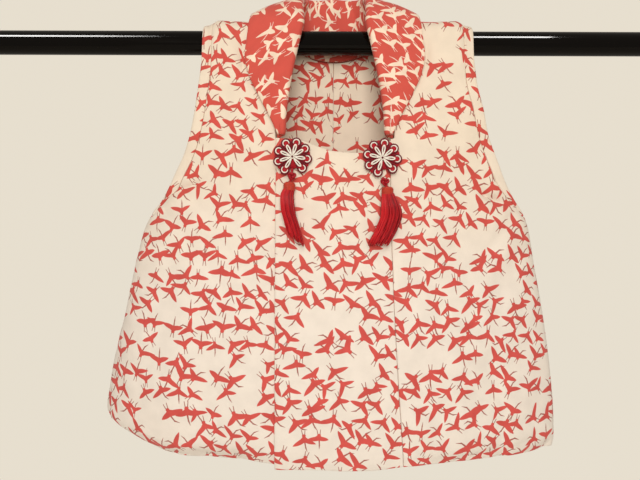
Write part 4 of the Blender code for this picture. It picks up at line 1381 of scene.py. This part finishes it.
def crane_group():
    """A node group that says whether a point is on the crane of one cell of the cloth's repeat."""
    tree = bpy.data.node_groups.new("crane", "ShaderNodeTree")
    names = ("X", "Y", "Row Step", "Column Step", "Cell", "Span", "Fill", "One Way")
    for kind, sockets in (("INPUT", names), ("OUTPUT", ("Ink", "Line"))):
        for name in sockets:
            tree.interface.new_socket(name, in_out=kind, socket_type="NodeSocketFloat")
    given = tree.nodes.new("NodeGroupInput")
    fields = [field(tree, given, i) for i in range(len(names))]
    x, y, row_step, column_step, cell, span, fill, one_way = fields

    # Which crane: its row, its place in the row, and four chance numbers.
    row = (y / cell - 0.5).floor() + row_step
    shift = field(tree, node(tree, "TexWhiteNoise", {"noise_dimensions": "1D"}, w=row)) * 0.7 + row * 0.37
    place = (x / cell - shift - 0.5).floor() + column_step
    flat = {"noise_dimensions": "2D"}
    chance = node(tree, "TexWhiteNoise", flat, vector=vector(tree, place, row))
    first, second, third = parts(tree, chance.outputs["Color"], "SeparateColor")
    value = field(tree, chance)
    centre_x = (place + shift + 0.5 + (first - 0.5) * CRANE_JITTER) * cell
    centre_y = (row + 0.5 + (second - 0.5) * CRANE_JITTER) * cell

    # Which way its flock flies, and the blank stretches between flocks.
    centre = vector(tree, centre_x, centre_y)
    flock = node(tree, "TexNoise", flat, vector=centre, scale=FLOCK_SCALE, detail=1.0)
    flock_lean, flock_way, _ = parts(tree, flock.outputs["Color"], "SeparateColor")
    lean = ((flock_lean - 0.5) * 8.0).most(-MOST_LEAN).least(MOST_LEAN) + (third - 0.5) * 0.60
    upwards = (flock_way - 0.5).over(0.0).most(one_way)
    slanted = vector(tree, centre_x * 0.6 + centre_y * 0.5, centre_y * 1.5)
    blank = node(tree, "TexNoise", flat, vector=slanted, scale=BLANK_SCALE, detail=1.0)
    there = (field(tree, blank) + (value - 0.5) * 0.16).under(fill)
    turned = centre_y.under(TURNED_Y) * one_way * TURNED
    heading = upwards * -math.pi + (lean + math.pi / 2) + turned

    # The point in the crane's own units, and the crane's parts there.
    off_x, off_y = x - centre_x, y - centre_y
    size = span * (value * 0.26 + 0.86)
    u = (off_x * heading.cos() + off_y * heading.sin()) / size
    v = (off_y * heading.cos() - off_x * heading.sin()) / size
    sweep = third * 0.42 - 0.06
    bank = (second - 0.5) * 0.50
    wing = abs(v) * (bank * v.sign() + 1.0)
    spread = wing.least(1.0)
    rest = -spread + 1.0
    lead = sweep * spread + spread * rest * 0.34 + 0.13
    half_chord = rest.power(0.78) * (spread * 0.26 + 0.215) + (spread * -3.4 + 1.0).most(0.0) * 0.07
    wings = half_chord - abs(u - lead + half_chord) - (wing - 1.0).most(0.0)
    tail = (u * -0.22 + 0.075).least(0.17) - abs(v) - (-u - 0.45).most(0.0) * 1.6
    bend = lean * 1.1 + (first - 0.5) * 0.6
    neck_way = ((bend * 0.25).cos(), (bend * 0.25).sin())
    neck = limb(u, v, (NECK_ROOT, 0.0), neck_way, NECK)
    head = (neck_way[0] * NECK.length + NECK_ROOT, neck_way[1] * NECK.length)
    bill = limb(u, v, head, (bend.cos(), bend.sin()), BILL)
    legs = limb(u, abs(v), LEG_ROOT, LEG_WAY, LEGS)
    out = tree.nodes.new("NodeGroupOutput")
    depths = (wings.most(tail), neck.most(bill).most(legs))
    set_inputs(tree, out.inputs, [depth.step(-EDGE_BLUR / 2, EDGE_BLUR / 2) * there for depth in depths])
    return tree


# Painted warm light from above tints the cloth towards the top, fully at the higher of these two heights.
PAINTED_WARMTH_LOW_Z = -0.300
PAINTED_WARMTH_HIGH_Z = -0.080
PAINTED_WARMTH_TINT = (0.985, 0.930, 0.835)
# How far the print's rows wander.
WARP = 0.006
PRINTS = table(
    "name ground figure line cell span fill one_way roughness",
    (
        "print_cream", (0.845, 0.765, 0.678), (0.635, 0.09, 0.076), (0.34, 0.085, 0.066),
        0.0176, 0.0116, 0.628, 0.0, 0.72,
    ),
    (
        "print_red", (0.645, 0.096, 0.076), (0.9, 0.755, 0.65), (0.84, 0.68, 0.57),
        0.015, 0.0096, 0.665, 1.0, 0.7,
    ),
)


def printed(row, crane):
    """Crepe silk with the print: fine grains, a slight mottling, the flying cranes and painted warm light towards the
    top.
    """
    made, tree, shader = new_look(row.name + "_crepe")
    place = cloth_place(tree)
    warp = node(tree, "TexNoise", vector=place, scale=18.0, detail=2.0)
    bent = node(tree, "VectorMath", {"operation": "MULTIPLY_ADD"})
    set_inputs(tree, bent.inputs, (warp.outputs["Color"], (WARP, WARP, 0.0), place))
    x, y, _ = parts(tree, bent.outputs[0])
    cells = []
    for row_step, column_step in ((0.0, 0.0), (0.0, 1.0), (1.0, 0.0), (1.0, 1.0)):
        group = tree.nodes.new("ShaderNodeGroup")
        group.node_tree = crane
        given = (x, y, row_step, column_step, row.cell, row.span, row.fill, row.one_way)
        set_inputs(tree, group.inputs, given)
        cells.append(group)
    ink, line = (reduce(Field.most, [field(tree, cell, i) for cell in cells]) for i in range(2))
    shade = noise(tree, place, 60.0, 3.0).step(0.3, 0.7)
    _, _, up = parts(tree, object_place(tree))
    # Painted warm light from above: a tint set by height, not by any lamp.
    painted_warmth = up.step(PAINTED_WARMTH_LOW_Z, PAINTED_WARMTH_HIGH_Z)

    def mottled_with_painted_warmth(colour, spread):
        """The colour from its darker to its lighter shade, tinted towards the shoulders by painted warm light from
        above.
        """
        ends = []
        for share in (1 - spread, 1 + spread):
            unwarmed = tuple(min(1, c * share) for c in colour)
            ends.append(colour_mix(tree, painted_warmth, unwarmed, tuple(c * tint for c, tint in zip(unwarmed, PAINTED_WARMTH_TINT))))
        return colour_mix(tree, shade, *ends)

    lined = colour_mix(tree, line, mottled_with_painted_warmth(row.ground, 0.03), row.line)
    grain = field(tree, node(tree, "TexVoronoi", {"feature": "SMOOTH_F1"}, vector=place, scale=1400.0))
    crinkle = noise(tree, place, 420.0, 3.0)
    bump = node(tree, "Bump", strength=0.35, distance=0.0004, height=grain * 0.6 + crinkle)
    set_named(
        tree,
        shader,
        base_color=colour_mix(tree, ink, lined, mottled_with_painted_warmth(row.figure, 0.08)),
        roughness=crinkle * 0.16 + (row.roughness - 0.08),
        normal=bump.outputs[0],
        sheen_weight=0.12,
        sheen_roughness=0.45,
        specular_ior_level=0.22,
    )
    return made


# The dark and light colours of each thread span painted highlight and painted shade round its silk's own colour.
THREADS = table(
    "name dark light turns pitch plies roughness bump sheen",
    ("cream_cord", (0.8, 0.68, 0.55), (0.98, 0.94, 0.86), 3.0, 0.0011, 0.4, 0.55, 0.6, 0.08),
    ("crimson_silk", (0.2, 0.003, 0.008), (0.6, 0.014, 0.026), 2.0, 0.0014, 0.4, 0.42, 0.5, 0.04),
    ("maroon_cord", (0.06, 0.004, 0.008), (0.27, 0.009, 0.018), 3.0, 0.0011, 0.4, 0.5, 0.6, 0.04),
    # The strands' wide range from dark to light is partly painted highlight and painted shade streaks.
    ("strand_silk", (0.1, 0.002, 0.005), (0.86, 0.022, 0.03), 1.0, 0.008, 0.06, 0.42, 0.2, 0.0),
    ("wound_silk", (0.22, 0.006, 0.008), (0.8, 0.09, 0.04), 1.0, 0.0009, 0.35, 0.38, 0.4, 0.04),
)


def thread(row):
    """Twisted silk: slanting ply twists, colour that varies from strand to strand and a soft sheen, with painted
    highlight and shade in both.
    """
    made, tree, shader = new_look(row.name)
    length, around, _ = parts(tree, cloth_place(tree))
    ply = ((length / row.pitch + around * row.turns) * (2 * math.pi)).sin() * 0.5 + 0.5
    shade = Field(tree, node(tree, "Attribute", {"attribute_name": "shade"}).outputs["Fac"])
    fibres = noise(tree, vector(tree, length * 160.0, around * 30.0), 1.0, 3.0)
    # The ply twists lighten the colour on their crowns and darken it in their grooves, as the bump rises: painted
    # highlight and painted shade.
    level = ply * row.plies + shade * (0.9 - row.plies) + (fibres - 0.5) * 0.5 + 0.05
    bump = node(tree, "Bump", strength=row.bump, distance=0.0003, height=ply + fibres * 0.3)
    set_named(
        tree,
        shader,
        base_color=colour_mix(tree, level.most(0.0).least(1.0), row.dark, row.light),
        roughness=fibres * 0.2 + (row.roughness - 0.1),
        normal=bump.outputs[0],
        sheen_weight=row.sheen,
        specular_ior_level=0.30,
    )
    return made


def lacquer():
    """The rod's black paint: glossy, with faint orange peel and fine rubbed marks along it."""
    made, tree, shader = new_look("black_paint")
    place = object_place(tree)
    stretch = node(tree, "Mapping", vector=place, scale=(6.0, 180.0, 180.0))
    marks = noise(tree, stretch.outputs[0], 1.0, 4.0)
    bump = node(tree, "Bump", strength=0.02, distance=0.00004, height=noise(tree, place, 90.0, 2.0))
    set_named(
        tree,
        shader,
        base_color=colour_mix(tree, marks.step(0.55, 0.8), (0.0025, 0.0018, 0.0013), (0.007, 0.006, 0.005)),
        roughness=marks * 0.04 + 0.05,
        normal=bump.outputs[0],
        specular_ior_level=0.14,
    )
    return made


def floor_look():
    made, tree, shader = new_look("floor")
    base = colour_mix(tree, noise(tree, object_place(tree), 9.0, 3.0), (0.66, 0.61, 0.53), (0.70, 0.65, 0.57))
    set_named(tree, shader, base_color=base, roughness=0.8)
    return made


# The scene.


FLOOR_RADIUS = 1.5
FLOOR_Z = -1.25
SURROUND_SEEN = (0.800, 0.735, 0.620, 1.0)
SURROUND_LIGHT = (0.385, 0.350, 0.305, 1.0)
# The strips are there for the long reflections on the rod, and light nothing else.
STRIP_HEIGHT = 0.09
LIGHTS = table(
    "name place aim width power colour",
    ("key", (-0.12, -2.0, 0.75), (0.0, 0.0, -0.2), 1.1, 14.5, (1.0, 0.975, 0.93)),
    ("fill", (0.0, -1.7, -0.05), (0.0, 0.0, -0.15), 0.9, 12.8, (1.0, 0.96, 0.91)),
    ("strip_left", (-1.1, -1.25, 1.22), (-0.92, 0.0, 0.0), 0.72, 15.0, (1.0, 0.985, 0.96)),
    ("strip_right", (0.68, -1.25, 1.22), (0.58, 0.0, 0.0), 0.62, 13.5, (1.0, 0.985, 0.96)),
    ("behind", (0.3, 2.2, 0.9), (0.0, 0.0, -0.2), 1.6, 36.0, (1.0, 0.985, 0.96)),
)
# The camera of the photo: its place, its roll in degrees and its focal length in photo pixels.
CAMERA_PLACE = (-0.015, -0.531, -0.216)
CAMERA_ROLL = -0.15
FOCAL_PIXELS = 483
PHOTO_WIDTH = 640
SENSOR_WIDTH = 36


def surround():
    """A pale surround, which gives less light than it seems to."""
    world = bpy.data.worlds.new("surround")
    bpy.context.scene.world = world
    world.use_nodes = True
    tree = world.node_tree
    seen, glow = tree.nodes["Background"], tree.nodes.new("ShaderNodeBackground")
    seen.inputs["Color"].default_value = SURROUND_SEEN
    glow.inputs["Color"].default_value = SURROUND_LIGHT
    choice, path = (tree.nodes.new("ShaderNode" + kind) for kind in ("MixShader", "LightPath"))
    set_inputs(tree, choice.inputs, (path.outputs["Is Camera Ray"], glow.outputs[0], seen.outputs[0]))
    tree.links.new(choice.outputs[0], tree.nodes["World Output"].inputs[0])


def stage_set():
    """A pale floor well below, a pale surround, soft lights and the camera."""
    mesh = bpy.data.meshes.new("floor")
    turn = np.arange(64) * 2 * math.pi / 64
    rim = np.stack([FLOOR_RADIUS * np.cos(turn), FLOOR_RADIUS * np.sin(turn), 0 * turn + FLOOR_Z], axis=-1)
    mesh.from_pydata(rim.tolist(), [], [tuple(range(64))])
    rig.stage(add_object("floor", mesh, floor_look()))
    surround()
    for light in LIGHTS:
        is_strip = light.name.startswith("strip")
        data = bpy.data.lights.new(light.name, "AREA")
        data.shape = "RECTANGLE"
        data.size, data.size_y = light.width, STRIP_HEIGHT if is_strip else light.width
        data.energy, data.color = light.power, light.colour
        lamp = new_object(light.name, data)
        lamp.location = light.place
        lamp.visible_diffuse, lamp.visible_glossy = not is_strip, is_strip
        aim = np.array(light.place) - np.array(light.aim)
        tilt = math.atan2(math.hypot(aim[0], aim[1]), aim[2])
        lamp.rotation_euler = (tilt, 0, math.atan2(aim[1], aim[0]) + math.pi / 2)
    data = bpy.data.cameras.new("camera")
    data.sensor_width = SENSOR_WIDTH
    data.lens = SENSOR_WIDTH * FOCAL_PIXELS / PHOTO_WIDTH
    data.clip_start = 0.01
    camera = new_object("camera", data)
    camera.location = CAMERA_PLACE
    camera.rotation_euler = (math.radians(90), math.radians(CAMERA_ROLL), 0)
    bpy.context.scene.camera = camera
    bpy.context.scene.view_settings.view_transform = "Standard"


def put(piece, node_name, slot):
    """Fastens a piece to the body and lets it stand for its solid."""
    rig.ride(piece, "root")
    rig.replaces(piece, node_name)
    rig.slot(piece, slot)
    return piece


def main():
    crane = crane_group()
    cream, red = (printed(row, crane) for row in PRINTS)
    cream_cord, crimson, maroon, silk, wound = (thread(row) for row in THREADS)
    rod = frame["nodes"]["rod"]
    rod.data.materials.clear()
    rod.data.materials.append(lacquer())
    made = {
        "body_right": body(-1, cream),
        "body_left": body(1, cream),
        "armhole_band_right": armhole_band(-1, cream),
        "armhole_band_left": armhole_band(1, cream),
        "front_band_left": front_band(1, BAND_FREE_X, OVERLAP_TOP, LAYER_STEP, BAND_HANG, cream),
        "front_band_right": front_band(-1, UNDER_FREE_X, UNDER_TOP, 0, 0, cream),
    }
    for name, piece in made.items():
        put(piece, name, "print_cream")
    made["collar"] = put(collar(red), "collar", "print_red")
    hung = {}
    for ornament in ORNAMENTS:
        name = ornament.name
        hung[name] = [
            put(flower(ornament, (cream_cord, crimson, maroon)), "flower_" + name, "cord_white"),
            put(knot(ornament, crimson), "knot_" + name, "silk_crimson"),
            put(tassel(ornament, (silk, wound)), "tassel_" + name, "silk_crimson"),
        ]
    on_pieces = {"front_band_left": hung["right"], "body_left": hung["left"]}
    for cut in CUTS:
        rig.sheet(
            made[cut.node],
            flat=(cut.width, cut.length),
            held="hung",
            rests_on=[cut.rests_on],
            area=cut.area,
            with_pieces=on_pieces.get(cut.node, ()),
        )
    stage_set()


main()
with open("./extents.json", "w") as f:
    json.dump([[list(corner) for corner in box] for box in (CAD_BOX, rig.bounds())], f)
